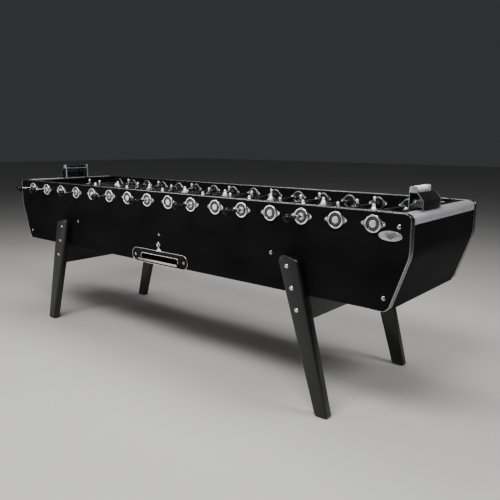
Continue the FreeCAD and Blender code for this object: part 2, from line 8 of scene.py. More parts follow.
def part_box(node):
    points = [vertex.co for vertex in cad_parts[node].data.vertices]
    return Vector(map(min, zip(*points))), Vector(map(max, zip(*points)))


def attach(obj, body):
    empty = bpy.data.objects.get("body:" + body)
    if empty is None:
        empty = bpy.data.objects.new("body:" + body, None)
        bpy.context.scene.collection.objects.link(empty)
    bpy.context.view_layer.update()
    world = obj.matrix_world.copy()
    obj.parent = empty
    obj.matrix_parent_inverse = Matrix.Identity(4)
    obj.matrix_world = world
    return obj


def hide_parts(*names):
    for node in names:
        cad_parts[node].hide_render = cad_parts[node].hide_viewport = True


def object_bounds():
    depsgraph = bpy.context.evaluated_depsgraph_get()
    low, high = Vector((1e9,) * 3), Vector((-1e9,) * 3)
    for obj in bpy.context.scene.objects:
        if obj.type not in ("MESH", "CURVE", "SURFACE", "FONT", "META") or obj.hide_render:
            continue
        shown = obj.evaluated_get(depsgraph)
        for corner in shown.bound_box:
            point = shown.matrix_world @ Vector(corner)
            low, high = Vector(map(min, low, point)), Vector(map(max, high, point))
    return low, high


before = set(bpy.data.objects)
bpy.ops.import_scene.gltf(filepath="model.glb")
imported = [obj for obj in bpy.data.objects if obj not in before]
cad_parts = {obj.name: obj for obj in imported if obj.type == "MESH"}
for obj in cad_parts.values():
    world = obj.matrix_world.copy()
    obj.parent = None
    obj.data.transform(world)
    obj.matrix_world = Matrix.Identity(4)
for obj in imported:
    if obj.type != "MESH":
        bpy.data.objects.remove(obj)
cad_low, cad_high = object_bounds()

# The looks of a long bar football table, in metres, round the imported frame.
# The near side is -Y and +X is the right end seen from there.

mm = 0.001
half_length = cad_high.x
panel_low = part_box("side_panel_near")[0]
trim_low, trim_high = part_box("edge_trims")
table_top = trim_high.z
cabinet_bottom = trim_low.z
half_width = trim_high.y
trim_width = 30 * mm
trim_end = 1.24
trim_thickness = panel_low.z - cabinet_bottom
top_corner_radius = 30 * mm
bottom_corner_radius = 35 * mm
kink_radius = 150 * mm
slant_top = 740 * mm
slant_ratio = 0.339

rod_count = 16
forward_places = (290 * mm, 110 * mm, -70 * mm)
pair_places = (290 * mm, 40 * mm)
goalie_places = (71 * mm,)
near_lines = {1: goalie_places, 2: pair_places}
near_lines.update({line: forward_places for line in (4, 6, 8, 10, 12, 14)})
tube_radius = 8 * mm
tube_socket = 12 * mm
tube_fit = 0.05 * mm
inner_bore = 6.58 * mm
bumper_radius = 13 * mm
bumper_length = 19 * mm
knob_radius = 20 * mm
ferrule_radius = 11 * mm
ferrule_length = 12 * mm
head_radius = 11 * mm
head_centre = 29 * mm

flange_radius = 35 * mm
outer_flange_height = 8 * mm
inner_flange_height = 6 * mm
ear_thickness = 3 * mm
ear_distance = 44.5 * mm
ear_radius = 8 * mm
ear_fillet_radius = 40 * mm
bush_radius = 28 * mm
bush_recess = 3 * mm
cap_radius = 14.5 * mm
bearing_head_radius = 4.5 * mm
tick_count = 24

panel_screw_places = ((1.341, 0.848), (-1.341, 0.848), (1.293, 0.565), (-1.293, 0.565),
                      (0.745, 0.674), (-0.745, 0.674), (0.0, 0.674))
panel_head_radius = 9 * mm
leg_bolt_places = ((0.862, 0.637), (0.890, 0.544), (0.918, 0.452))
leg_bolt_radius = 9.5 * mm
leg_outer_foot, leg_outer_ratio, leg_outer_top = 1.088, 0.254, 0.668
leg_inner_foot, leg_inner_ratio, leg_inner_top = 1.022, 0.3177, 0.690

tray_half_length = 220 * mm
tray_bottom, tray_top = 508 * mm, 586 * mm
tray_crest = 636 * mm
tray_plate = 5 * mm
tray_screw_offset = 190 * mm
crest_half = 17 * mm
lip_half = 154 * mm

case_inner = 1.322
case_slant_foot = 0.936
case_slant_head = 1.354
case_half = 90 * mm
case_wall = 4 * mm
case_step = 1348.7 * mm
case_floor = 900.5 * mm
bridge_block = 8 * mm


# ---------------------------------------------------------------- materials

def start_material(name, colour, metallic, roughness):
    """A material with one principled shader; returns it with its node tree and shader."""
    material = bpy.data.materials.new(name)
    material.use_nodes = True
    tree = material.node_tree
    shader = tree.nodes["Principled BSDF"]
    shader.inputs["Base Color"].default_value = (*colour, 1)
    shader.inputs["Metallic"].default_value = metallic
    shader.inputs["Roughness"].default_value = roughness
    return material, tree, shader


def noise(tree, scale, detail=4.0, stretch=(1, 1, 1), roughness=0.55):
    """Noise over the object's own coordinates, stretched by a scale on each axis."""
    place = tree.nodes.new("ShaderNodeTexCoord")
    mapping = tree.nodes.new("ShaderNodeMapping")
    mapping.inputs["Scale"].default_value = stretch
    texture = tree.nodes.new("ShaderNodeTexNoise")
    texture.inputs["Scale"].default_value = scale
    texture.inputs["Detail"].default_value = detail
    texture.inputs["Roughness"].default_value = roughness
    tree.links.new(place.outputs["Object"], mapping.inputs["Vector"])
    tree.links.new(mapping.outputs["Vector"], texture.inputs["Vector"])
    return texture.outputs["Fac"]


def spread(tree, value, low, high, start=0.3, end=0.7):
    """Maps a texture value from start..end to low..high."""
    node = tree.nodes.new("ShaderNodeMapRange")
    node.inputs["From Min"].default_value = start
    node.inputs["From Max"].default_value = end
    node.inputs["To Min"].default_value = low
    node.inputs["To Max"].default_value = high
    tree.links.new(value, node.inputs["Value"])
    return node.outputs["Result"]


def tint(tree, shader, value, stops):
    """Colours the surface along a ramp of (place, colour) stops."""
    ramp = tree.nodes.new("ShaderNodeValToRGB")
    elements = ramp.color_ramp.elements
    while len(elements) < len(stops):
        elements.new(0.5)
    for element, (place, colour) in zip(elements, stops):
        element.position = place
        element.color = (*colour, 1)
    tree.links.new(value, ramp.inputs["Fac"])
    tree.links.new(ramp.outputs["Color"], shader.inputs["Base Color"])


def bump(tree, shader, value, strength, distance):
    """Raises the surface along a texture value."""
    node = tree.nodes.new("ShaderNodeBump")
    node.inputs["Strength"].default_value = strength
    node.inputs["Distance"].default_value = distance
    tree.links.new(value, node.inputs["Height"])
    tree.links.new(node.outputs["Normal"], shader.inputs["Normal"])


def surface(name, colour, metallic, roughness, texture, stops, rough, relief, grain=None, inputs=()):
    """A surface whose colour follows the stops and whose roughness follows the limits in rough, both led by
    one noise texture. Its relief (strength, distance) comes from the grain noise or the same texture."""
    material, tree, shader = start_material(name, colour, metallic, roughness)
    for label, value in inputs:
        shader.inputs[label].default_value = value
    pattern = noise(tree, *texture)
    tint(tree, shader, pattern, stops)
    tree.links.new(spread(tree, pattern, *rough), shader.inputs["Roughness"])
    bump(tree, shader, noise(tree, *grain) if grain else pattern, *relief)
    return material


def brushed_aluminium(name, stretch, colour=(0.80, 0.80, 0.81), low=0.24, high=0.38, metallic=1.0):
    """Brushed aluminium, its scratches drawn out along the axis with the small stretch."""
    material, tree, shader = start_material(name, colour, metallic, 0.3)
    lines = noise(tree, 60.0, 8.0, stretch, 0.7)
    shade = noise(tree, 5.0, 3.0)
    darker = tuple(channel * 0.74 for channel in colour)
    tint(tree, shader, lines, ((0.36, darker), (0.64, colour)))
    mixed = tree.nodes.new("ShaderNodeMath")
    mixed.operation = "ADD"
    tree.links.new(spread(tree, lines, low, high), mixed.inputs[0])
    tree.links.new(spread(tree, shade, -0.03, 0.03), mixed.inputs[1])
    tree.links.new(mixed.outputs["Value"], shader.inputs["Roughness"])
    bump(tree, shader, lines, 0.12, 0.0003)
    return material


def polished(name, colour, low, high, wave=0.04):
    """Polished metal with slight ripples and hazy patches from handling."""
    duller = tuple(channel * 0.90 for channel in colour)
    return surface(name, colour, 1.0, low, (45.0, 6.0), ((0.35, duller), (0.62, colour)), (low, high),
                   (wave, 0.0008), (70.0, 2.0))


def black_plastic(name, colour, low, high, coat, grain_scale, grain_strength, ior=1.5):
    """Moulded or painted black, lighter in patches and finely grained."""
    lighter = tuple(channel * 1.7 + 0.002 for channel in colour)
    return surface(name, colour, 0.0, low, (60.0, 5.0), ((0.35, colour), (0.75, lighter)), (low, high),
                   (grain_strength, 0.0003), (grain_scale, 3.0),
                   (("Coat Weight", coat), ("Coat Roughness", 0.06), ("IOR", ior)))


def playfield_linoleum():
    """Very dark olive linoleum: marbled, matt, a little paler in patches."""
    material, tree, shader = start_material("playfield_linoleum", (0.02, 0.023, 0.018), 0.0, 0.5)
    marble = noise(tree, 14.0, 10.0, (1, 2.5, 1), 0.7)
    tint(tree, shader, marble, ((0.25, (0.012, 0.015, 0.011)), (0.5, (0.021, 0.025, 0.019)),
                                (0.8, (0.040, 0.044, 0.034))))
    tree.links.new(spread(tree, noise(tree, 4.0, 4.0), 0.38, 0.55), shader.inputs["Roughness"])
    bump(tree, shader, noise(tree, 420.0, 4.0), 0.12, 0.0004)
    return material


def clear_acrylic():
    """Clear, slightly grey acrylic sheet with a few faint scuffs."""
    material, tree, shader = start_material("clear_acrylic", (0.42, 0.43, 0.45), 0.0, 0.03)
    shader.inputs["Transmission Weight"].default_value = 1.0
    shader.inputs["IOR"].default_value = 1.12
    scuffs = noise(tree, 90.0, 6.0, (1, 1, 3))
    tree.links.new(spread(tree, scuffs, 0.03, 0.10, 0.55, 0.8), shader.inputs["Roughness"])
    bump(tree, shader, scuffs, 0.02, 0.0003)
    return material


def pale_floor():
    """A matt floor with the faintest clouds."""
    material, tree, shader = start_material("studio_floor", (0.62, 0.61, 0.59), 0.0, 0.6)
    clouds = noise(tree, 0.7, 4.0)
    tint(tree, shader, clouds, ((0.3, (0.60, 0.59, 0.575)), (0.7, (0.64, 0.63, 0.615))))
    tree.links.new(spread(tree, clouds, 0.55, 0.65), shader.inputs["Roughness"])
    return material


# satin black laminate with a fine pebbled grain and faint wiping marks
laminate = surface("black_laminate", (0.006, 0.006, 0.006), 0.0, 0.42, (3.0, 5.0, (1, 1, 2.2)),
                   ((0.3, (0.0045, 0.0045, 0.0050)), (0.7, (0.0090, 0.0088, 0.0090))), (0.36, 0.50),
                   (0.16, 0.0004), (900.0, 2.0), (("IOR", 1.06),))
# black lacquer over wood: half gloss, with a faint long grain under it
lacquer = surface("leg_lacquer", (0.006, 0.006, 0.006), 0.0, 0.30, (22.0, 6.0, (6, 6, 0.6)),
                  ((0.35, (0.0045, 0.0045, 0.0048)), (0.75, (0.0095, 0.0092, 0.0090))), (0.26, 0.40),
                  (0.10, 0.0006), None,
                  (("Specular IOR Level", 0.32), ("Coat Weight", 0.2), ("Coat Roughness", 0.18)))
rail_metal = brushed_aluminium("rail_aluminium", (14, 0.25, 14), (0.86, 0.86, 0.90), 0.30, 0.46, 0.72)
trim_metal = polished("trim_aluminium", (0.38, 0.375, 0.375), 0.18, 0.28)
# dark polished metal: a painted dark reflection on the edge band, painted shade on the deck strips, print on
# the badge waves
shade_and_print_metal = polished("trim_band", (0.13, 0.13, 0.145), 0.20, 0.34)
bridge_metal = brushed_aluminium("bridge_aluminium", (14, 0.3, 14), (0.64, 0.66, 0.70), 0.22, 0.34, 0.7)
mark_metal = brushed_aluminium("mark_metal", (4, 4, 4), (0.50, 0.50, 0.51), 0.4, 0.5)
cap_metal = brushed_aluminium("cap_metal", (6, 6, 0.6), (0.92, 0.92, 0.92), 0.36, 0.50)
badge_metal = brushed_aluminium("badge_metal", (0.4, 14, 14), (0.62, 0.62, 0.63), 0.34, 0.48)
chrome = polished("chrome_castings", (0.92, 0.92, 0.93), 0.20, 0.30, 0.06)
# the chrome castings darkened: painted shade on the ear plates and the inner flanges
painted_shade_chrome = polished("chrome_painted_shade", (0.34, 0.34, 0.35), 0.26, 0.38, 0.06)
tray_metal = polished("tray_metal", (0.60, 0.585, 0.575), 0.20, 0.32, 0.06)
# black over the flat plate of each ball tray and its crest: a painted dark reflection
tray_dark_reflection = black_plastic("tray_dark_reflection", (0.006, 0.006, 0.006), 0.30, 0.42, 0.0, 400.0, 0.08, 1.12)
screw_steel = polished("screw_steel", (0.46, 0.43, 0.40), 0.16, 0.28)
fastener_chrome = polished("chrome_fasteners", (0.84, 0.84, 0.85), 0.08, 0.18)
rod_chrome = polished("rod_chrome", (0.86, 0.86, 0.875), 0.06, 0.14, 0.02)
# a polished casting: bright, with a soft orange-peel skin whose hollows are darkened as painted shade
casting = surface("cast_aluminium", (0.93, 0.93, 0.92), 0.75, 0.4, (160.0, 5.0),
                  ((0.3, (0.84, 0.84, 0.83)), (0.6, (0.95, 0.95, 0.94))), (0.30, 0.46), (0.22, 0.0006))
enamel = black_plastic("black_enamel", (0.010, 0.010, 0.011), 0.10, 0.20, 0.8, 160.0, 0.05)
knob_black = black_plastic("knob_plastic", (0.005, 0.005, 0.005), 0.07, 0.14, 0.12, 240.0, 0.02, 1.2)
rubber = black_plastic("bumper_rubber", (0.016, 0.016, 0.016), 0.55, 0.75, 0.0, 700.0, 0.25)
bush_black = black_plastic("bush_plastic", (0.008, 0.008, 0.008), 0.34, 0.46, 0.0, 900.0, 0.12, 1.2)
ivory = surface("ivory_plastic", (0.84, 0.82, 0.76), 0.0, 0.25, (80.0, 5.0),
                ((0.3, (0.90, 0.90, 0.88)), (0.65, (0.96, 0.96, 0.95))), (0.2, 0.36), (0.05, 0.0002),
                (500.0, 2.0), (("Coat Weight", 0.4), ("Coat Roughness", 0.1)))
linoleum = playfield_linoleum()
# dark stained board with a long grain
board = surface("inner_board", (0.05, 0.042, 0.035), 0.0, 0.6, (9.0, 8.0, (0.5, 9, 9), 0.6),
                ((0.3, (0.030, 0.024, 0.019)), (0.7, (0.075, 0.060, 0.046))), (0.5, 0.7), (0.2, 0.0006))
clear_sheet = clear_acrylic()
edge_sheet = black_plastic("acrylic_edge", (0.17, 0.175, 0.18), 0.14, 0.26, 0.3, 400.0, 0.05)
smoked_sheet = black_plastic("smoked_acrylic", (0.007, 0.007, 0.008), 0.10, 0.20, 0.3, 300.0, 0.02)


# ---------------------------------------------------------------- shapes

def finish_mesh(mesh, material, sharp_degrees=38.0):
    mesh.materials.clear()
    mesh.materials.append(material)
    mesh.shade_smooth()
    mesh.set_sharp_from_angle(angle=math.radians(sharp_degrees))
    return mesh


def place_piece(name, mesh, body, replaced=(), at=None):
    """Shows a mesh as a piece that rides on a body."""
    piece = bpy.data.objects.new(name, mesh)
    bpy.context.scene.collection.objects.link(piece)
    if at is not None:
        piece.matrix_world = at
    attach(piece, body)
    if replaced:
        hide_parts(*replaced)
    return piece


def rounded(corners, degrees=7.0):
    """Points of a closed outline through corners (x, z, radius), each corner rounded by its radius."""
    points = []
    for index, (x, z, radius) in enumerate(corners):
        here = Vector((x, z))
        back = (Vector(corners[index - 1][:2]) - here).normalized()
        ahead = (Vector(corners[(index + 1) % len(corners)][:2]) - here).normalized()
        if radius <= 0:
            points.append(here)
            continue
        half_angle = back.angle(ahead) / 2
        bisector = (back + ahead).normalized()
        centre = here + bisector * (radius / math.sin(half_angle))
        start = here + back * (radius / math.tan(half_angle)) - centre
        turn = start.angle_signed(here + ahead * (radius / math.tan(half_angle)) - centre)
        steps = max(2, math.ceil(abs(math.degrees(turn)) / degrees))
        for step in range(steps + 1):
            spun = Matrix.Rotation(-turn * step / steps, 2) @ start
            points.append(centre + spun)
    return points


def circle(x, z, radius, steps=48):
    turns = [2 * math.pi * k / steps for k in range(steps)]
    return [Vector((x + radius * math.cos(a), z + radius * math.sin(a))) for a in turns]


def block_outline(x_low, x_high, z_low, z_high, radius, degrees):
    """A rectangle with all four corners rounded alike."""
    corners = ((x_low, z_high), (x_high, z_high), (x_high, z_low), (x_low, z_low))
    return rounded([(x, z, radius) for x, z in corners], degrees)


def plate_mesh(name, outlines, y_low, y_high, edge, rounds=3, domed_side=0):
    """A plate between y_low and y_high whose outlines (the first one outside, the others holes) lie in XZ,
    with every edge rounded by edge. A domed plate is rounded only on the side that domed_side names."""
    thickness = y_high - y_low
    if domed_side:
        thickness = thickness * 2
    curve = bpy.data.curves.new(name, "CURVE")
    curve.dimensions = "2D"
    curve.fill_mode = "BOTH"
    curve.extrude = max(thickness / 2 - edge, 1e-6)
    curve.bevel_depth = edge
    curve.offset = -edge
    curve.bevel_resolution = rounds
    for outline in outlines:
        spline = curve.splines.new("POLY")
        spline.points.add(len(outline) - 1)
        for point, place in zip(spline.points, outline):
            point.co = (place.x, place.y, 0, 1)
        spline.use_cyclic_u = True
    holder = bpy.data.objects.new(name, curve)
    bpy.context.scene.collection.objects.link(holder)
    graph = bpy.context.evaluated_depsgraph_get()
    mesh = bpy.data.meshes.new_from_object(holder.evaluated_get(graph), depsgraph=graph)
    bpy.data.objects.remove(holder)
    bpy.data.curves.remove(curve)
    mesh.transform(Matrix.Rotation(math.radians(90), 4, "X"))
    middle = (y_low + y_high) / 2
    if domed_side < 0:
        middle = y_high
    if domed_side > 0:
        middle = y_low
    mesh.transform(Matrix.Translation((0, middle, 0)))
    work = bmesh.new()
    work.from_mesh(mesh)
    if domed_side:
        for vertex in work.verts:
            vertex.co.y = min(vertex.co.y, y_high) if domed_side < 0 else max(vertex.co.y, y_low)
    bmesh.ops.remove_doubles(work, verts=work.verts, dist=1e-6)
    bmesh.ops.recalc_face_normals(work, faces=work.faces)
    work.to_mesh(mesh)
    work.free()
    mesh.name = name
    return mesh


def mesh_from(work, name):
    """Turns a work mesh into a mesh with its faces outwards."""
    bmesh.ops.recalc_face_normals(work, faces=work.faces)
    mesh = bpy.data.meshes.new(name)
    work.to_mesh(mesh)
    work.free()
    return mesh


def lathe_mesh(name, profile, steps=40):
    """A solid of revolution about Y. The profile is a list of (radius, y) from one end to the other."""
    work = bmesh.new()
    rings = []
    for radius, y in profile:
        if radius < 1e-6:
            rings.append([work.verts.new((0, y, 0))])
            continue
        rings.append([work.verts.new((point.x, y, point.y)) for point in circle(0, 0, radius, steps)])
    pairs = list(zip(rings, rings[1:]))
    if len(rings[0]) > 1:
        pairs.append((rings[-1], rings[0]))
    for first, second in pairs:
        for k in range(steps):
            following = (k + 1) % steps
            if len(first) == 1 and len(second) == 1:
                continue
            if len(first) == 1:
                work.faces.new((first[0], second[k], second[following]))
            elif len(second) == 1:
                work.faces.new((first[k], first[following], second[0]))
            else:
                work.faces.new((first[k], first[following], second[following], second[k]))
    return mesh_from(work, name)


def arc(centre_r, centre_y, radius, start, end, steps=6):
    """Profile points on an arc, angles in degrees from the outward radius towards +Y."""
    points = []
    for step in range(steps + 1):
        angle = math.radians(start + (end - start) * step / steps)
        points.append((centre_r + radius * math.cos(angle), centre_y + radius * math.sin(angle)))
    return points


def joined(copies):
    """One mesh made of (mesh, matrix) copies."""
    work = bmesh.new()
    for mesh, matrix in copies:
        start = len(work.verts)
        work.from_mesh(mesh)
        work.verts.ensure_lookup_table()
        bmesh.ops.transform(work, matrix=matrix, verts=work.verts[start:])
    mesh = bpy.data.meshes.new("joined")
    work.to_mesh(mesh)
    work.free()
    return mesh


def shifted(x, y, z):
    return Matrix.Translation((x, y, z))


unmoved = Matrix.Identity(4)
half_turn = Matrix.Rotation(math.pi, 4, "Z")
mirror_x = Matrix.Scale(-1, 4, (1, 0, 0))


def gathered(meshes):
    """One mesh made of meshes that stay where they are."""
    return joined([(mesh, unmoved) for mesh in meshes])


def turned(mesh, matrix=half_turn):
    copy = mesh.copy()
    copy.transform(matrix)
    return copy


def show_twice(names, mesh, material, replaced, sharp):
    """Shows a mesh on the body of the table, and the same mesh after half a turn."""
    finish_mesh(mesh, material, sharp)
    place_piece(names[0], mesh, "root", replaced)
    place_piece(names[1], turned(mesh), "root")


def both_sides(name, mesh, material, replaced=(), sharp=38.0):
    show_twice((name + "_near", name + "_far"), mesh, material, replaced, sharp)


def both_ends(name, mesh, material, replaced=(), sharp=38.0):
    show_twice((name + "_right", name + "_left"), mesh, material, replaced, sharp)


# ---------------------------------------------------------------- cabinet

def dress(nodes, material):
    """Gives carried-over nodes their finished material."""
    for node in nodes:
        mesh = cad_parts[node].data
        mesh.materials.clear()
        mesh.materials.append(material)


def side_outline(inset):
    """The outline of a side panel, moved in by inset: upright at the top, slanting in at the bottom."""
    slant_angle = math.atan(slant_ratio)
    kink_x = half_length - inset
    kink_z = slant_top - inset * math.tan(slant_angle / 2)
    foot_z = cabinet_bottom + inset
    foot_x = kink_x - (kink_z - foot_z) * slant_ratio
    return rounded([
        (-kink_x, table_top - inset, top_corner_radius - inset),
        (kink_x, table_top - inset, top_corner_radius - inset),
        (kink_x, kink_z, kink_radius),
        (foot_x, foot_z, bottom_corner_radius - inset),
        (-foot_x, foot_z, bottom_corner_radius - inset),
        (-kink_x, kink_z, kink_radius),
    ], 4.0)


def strip_outline(inset):
    """The closed outline of the edge strip: out along its outer face and back along its inner face."""
    low = cabinet_bottom + inset
    inner_low = cabinet_bottom + trim_thickness
    runs = []
    for step, floor_z in ((inset, low), (trim_thickness, inner_low)):
        run = [point for point in side_outline(step)
               if point.y > floor_z + 0.001 * mm or abs(point.x) > trim_end]
        gaps = [0] * len(run)
        for k, point in enumerate(run):
            if point.x < 0 and point.y < floor_z + 1 * mm:
                gaps[k] = (point - run[k - 1]).length
        turn = gaps.index(max(gaps))
        runs.append(run[turn:] + run[:turn])
    outer, inner = runs
    right_end = [Vector((trim_end, low)), Vector((trim_end, inner_low))]
    return [Vector((-trim_end, low))] + outer + right_end + inner[::-1] + [Vector((-trim_end, inner_low))]


def edge_trims():
    """The strip round each side panel, open along most of the bottom: two bright lips and a darker band,
    whose dark colour is a painted dark reflection.
    """
    lip = 4.5 * mm
    sunk = 0.5 * mm
    overlap = 0.2 * mm
    near_face = -half_width
    far_face = near_face + trim_width
    lips = [plate_mesh("edge_lip", [strip_outline(0)], start, start + lip, 1.1 * mm)
            for start in (near_face, far_face - lip)]
    start = near_face + lip - overlap
    end = far_face - lip + overlap
    band = plate_mesh("edge_band", [strip_outline(sunk)], start, end, 0.1 * mm, 1)
    both_sides("edge_trim", gathered(lips), trim_metal, ("edge_trims",), 50)
    both_sides("edge_band", band, shade_and_print_metal, (), 50)


def end_rails():
    """The brushed nosing across each end, its lower lip set off by a fine groove."""
    low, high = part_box("end_rails")
    inner = 1350 * mm
    lip = 16 * mm
    groove_z = high.z - 31.5 * mm
    outline = rounded([
        (inner, high.z, 1.5 * mm),
        (high.x, high.z, top_corner_radius),
        (high.x, groove_z, 0.6 * mm),
        (high.x - 1.6 * mm, groove_z - 1.0 * mm, 0.3 * mm),
        (high.x - 1.0 * mm, groove_z - 2.2 * mm, 0.5 * mm),
        (high.x - 1.0 * mm, low.z, 1.0 * mm),
        (high.x - lip, low.z, 0),
        (high.x - lip, high.z - lip, 0),
        (inner, high.z - lip, 0),
    ], 5.0)
    mesh = plate_mesh("end_rail", [outline], low.y, high.y, 0.5 * mm, 2)
    both_ends("end_rail", mesh, rail_metal, ("end_rails",), 30)


def deck_strips():
    """The thin strip along the inner edge of each end deck, coloured dark as painted shade."""
    low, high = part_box("end_wall_right")
    inner = low.x - 0.2 * mm
    outer = low.x + 3 * mm
    top = high.z + 1.2 * mm
    bottom = high.z - 6 * mm
    outline = rounded([(inner, top, 0.8 * mm), (outer, top, 0.8 * mm), (outer, bottom, 0),
                       (inner, bottom, 0.8 * mm)], 15.0)
    mesh = plate_mesh("deck_strip", [outline], low.y, high.y, 0.3 * mm, 1)
    both_ends("deck_strip", mesh, shade_and_print_metal)


def badge():
    """A plain oval plate with a raised rim and three shallow dark waves."""
    low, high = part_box("badge_plate")
    centre = (low + high) / 2
    half_long = (high.x - low.x) / 2
    half_high = (high.z - low.z) / 2
    turns = [2 * math.pi * k / 72 for k in range(72)]

    def oval(across, up):
        wide = half_long * across
        tall = half_high * up
        return [Vector((centre.x + wide * math.cos(a), centre.z + tall * math.sin(a))) for a in turns]

    plate = plate_mesh("badge_base", [oval(1, 1)], low.y + 1.2 * mm, high.y, 0.4 * mm, 2)
    rim = plate_mesh("badge_rim", [oval(1, 1), oval(0.93, 0.84)], low.y, low.y + 2.0 * mm, 0.5 * mm, 2)
    waves = []
    for row in (-1, 0, 1):
        reach = 0.62 - 0.14 * abs(row)
        upper = []
        lower = []
        for step in range(25):
            t = step / 24
            x = centre.x + half_long * reach * (2 * t - 1)
            z = centre.z + half_high * (0.36 * row + 0.16 * math.sin(t * 3 * math.pi))
            width = half_high * 0.115 * math.sin(math.pi * t) + 0.15 * mm
            upper.append(Vector((x, z + width)))
            lower.append(Vector((x, z - width)))
        outline = upper + lower[::-1]
        waves.append(plate_mesh("badge_wave", [outline], low.y + 0.4 * mm, low.y + 1.6 * mm, 0.1 * mm, 1))
    base = finish_mesh(gathered([plate, rim]), badge_metal)
    place_piece("badge_oval", base, "root", ("badge_plate",))
    place_piece("badge_waves", finish_mesh(gathered(waves), shade_and_print_metal), "root")


# ---------------------------------------------------------------- fasteners

def screw_mesh(name, radius, height, socket_radius, washer=0.0):
    """A domed head whose face is at y = 0 and whose crown points to -Y, with a socket in the crown."""
    ball = (radius ** 2 + height ** 2) / (2 * height)
    profile = [(0, 0), (radius + washer, 0)]
    rise = 0.0
    if washer:
        profile += [(radius + washer, -0.35 * mm), (radius + washer * 0.7, -0.7 * mm)]
        rise = 0.7 * mm
    start = math.asin(radius / ball)
    end = math.asin(socket_radius / ball)
    for step in range(7):
        angle = start + (end - start) * step / 6
        profile.append((ball * math.sin(angle), ball - height - rise - ball * math.cos(angle)))
    floor = min(height * 0.75, 1.8 * mm) - height - rise
    profile += [(socket_radius * 0.94, profile[-1][1] + 0.25 * mm), (socket_radius * 0.9, floor), (0, floor)]
    return lathe_mesh(name, profile, 24)


def rod_places():
    """The x and z of every rod, taken from its inner rod."""
    found = {}
    for index in range(1, rod_count + 1):
        low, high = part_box(f"inner_rod_{index:02d}")
        found[index] = ((low.x + high.x) / 2, (low.z + high.z) / 2)
    return found


places = rod_places()


def screws():
    """Every visible screw and bolt: of the panels and trays, of the bearings and of the legs."""
    tray_face = -half_width - tray_plate
    head = screw_mesh("panel_screw", panel_head_radius, 3.4 * mm, 3.2 * mm)
    copies = [(head, shifted(x, panel_low.y, z)) for x, z in panel_screw_places]
    for side in (-1, 1):
        copies.append((head, shifted(side * tray_screw_offset, tray_face, (tray_bottom + tray_top) / 2)))
    both_sides("panel_screws", joined(copies), screw_steel, ("panel_screws",))

    small = screw_mesh("bearing_screw", bearing_head_radius, 2.1 * mm, 1.7 * mm)
    inner = turned(small)
    copies = []
    for x, z in places.values():
        for side in (-1, 1):
            ear = x + side * ear_distance
            copies.append((small, shifted(ear, -half_width - ear_thickness, z)))
            copies.append((inner, shifted(ear, -half_width + trim_width + ear_thickness, z)))
    both_sides("bearing_screws", joined(copies), fastener_chrome)

    leg_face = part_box("leg_near_right")[0].y
    washer = 1.5 * mm
    bolt = screw_mesh("leg_bolt", leg_bolt_radius - washer, 4.0 * mm, 3.4 * mm, washer)
    copies = [(bolt, shifted(side * x, leg_face, z)) for x, z in leg_bolt_places for side in (1, -1)]
    both_sides("leg_bolts", joined(copies), fastener_chrome, ("leg_bolts",))


# ---------------------------------------------------------------- bearings

def ear_outline():
    """A circle with an ear each side, joined to it by hollow curves, about the origin."""
    to_rim = flange_radius + ear_fillet_radius
    to_ear = ear_radius + ear_fillet_radius
    fillet_x = (to_rim ** 2 - to_ear ** 2 + ear_distance ** 2) / (2 * ear_distance)
    fillet_z = math.sqrt(to_rim ** 2 - fillet_x ** 2)
    ear_turn = math.atan2(fillet_z, fillet_x - ear_distance)
    rim_turn = math.atan2(fillet_z, fillet_x)
    points = []

    def sweep(x, z, radius, first, last, steps):
        for step in range(steps + 1):
            angle = first + (last - first) * step / steps
            points.append(Vector((x + radius * math.cos(angle), z + radius * math.sin(angle))))

    for facing in (0.0, math.pi):
        side = math.cos(facing)
        sweep(side * ear_distance, 0, ear_radius, facing - ear_turn, facing + ear_turn, 10)
        sweep(side * fillet_x, side * fillet_z, ear_fillet_radius,
              facing + ear_turn + math.pi, facing + rim_turn + math.pi, 6)
        sweep(0, 0, flange_radius, facing + rim_turn, facing + math.pi - rim_turn, 16)
        sweep(-side * fillet_x, side * fillet_z, ear_fillet_radius, facing - rim_turn, facing - ear_turn, 6)
    apart = []
    for point in points:
        if not apart or (point - apart[-1]).length > 1e-5:
            apart.append(point)
    return apart


def rim_profile(height):
    """A broad rim, rounded at both shoulders and slightly crowned, as (radius, y), its face towards -Y."""
    inner = bush_radius + 0.3 * mm
    crown = 0.5 * mm
    outer_round = 2.2 * mm
    inner_round = 1.4 * mm
    profile = [(inner, 0), (flange_radius, 0)]
    profile += arc(flange_radius - outer_round, crown + outer_round - height, outer_round, 0, -80, 6)
    profile += [((inner + flange_radius) / 2, -height)]
    profile += arc(inner + inner_round, crown + inner_round - height, inner_round, -100, -180, 5)
    return profile


def flange_meshes(height):
    """The round rim of a flange and the plate with its ears."""
    outlines = [ear_outline(), circle(0, 0, bush_radius + 0.6 * mm)]
    plate = plate_mesh("ear_plate", outlines, -ear_thickness, 0, 0.9 * mm, 3, domed_side=-1)
    return lathe_mesh("rim", rim_profile(height), 64), plate


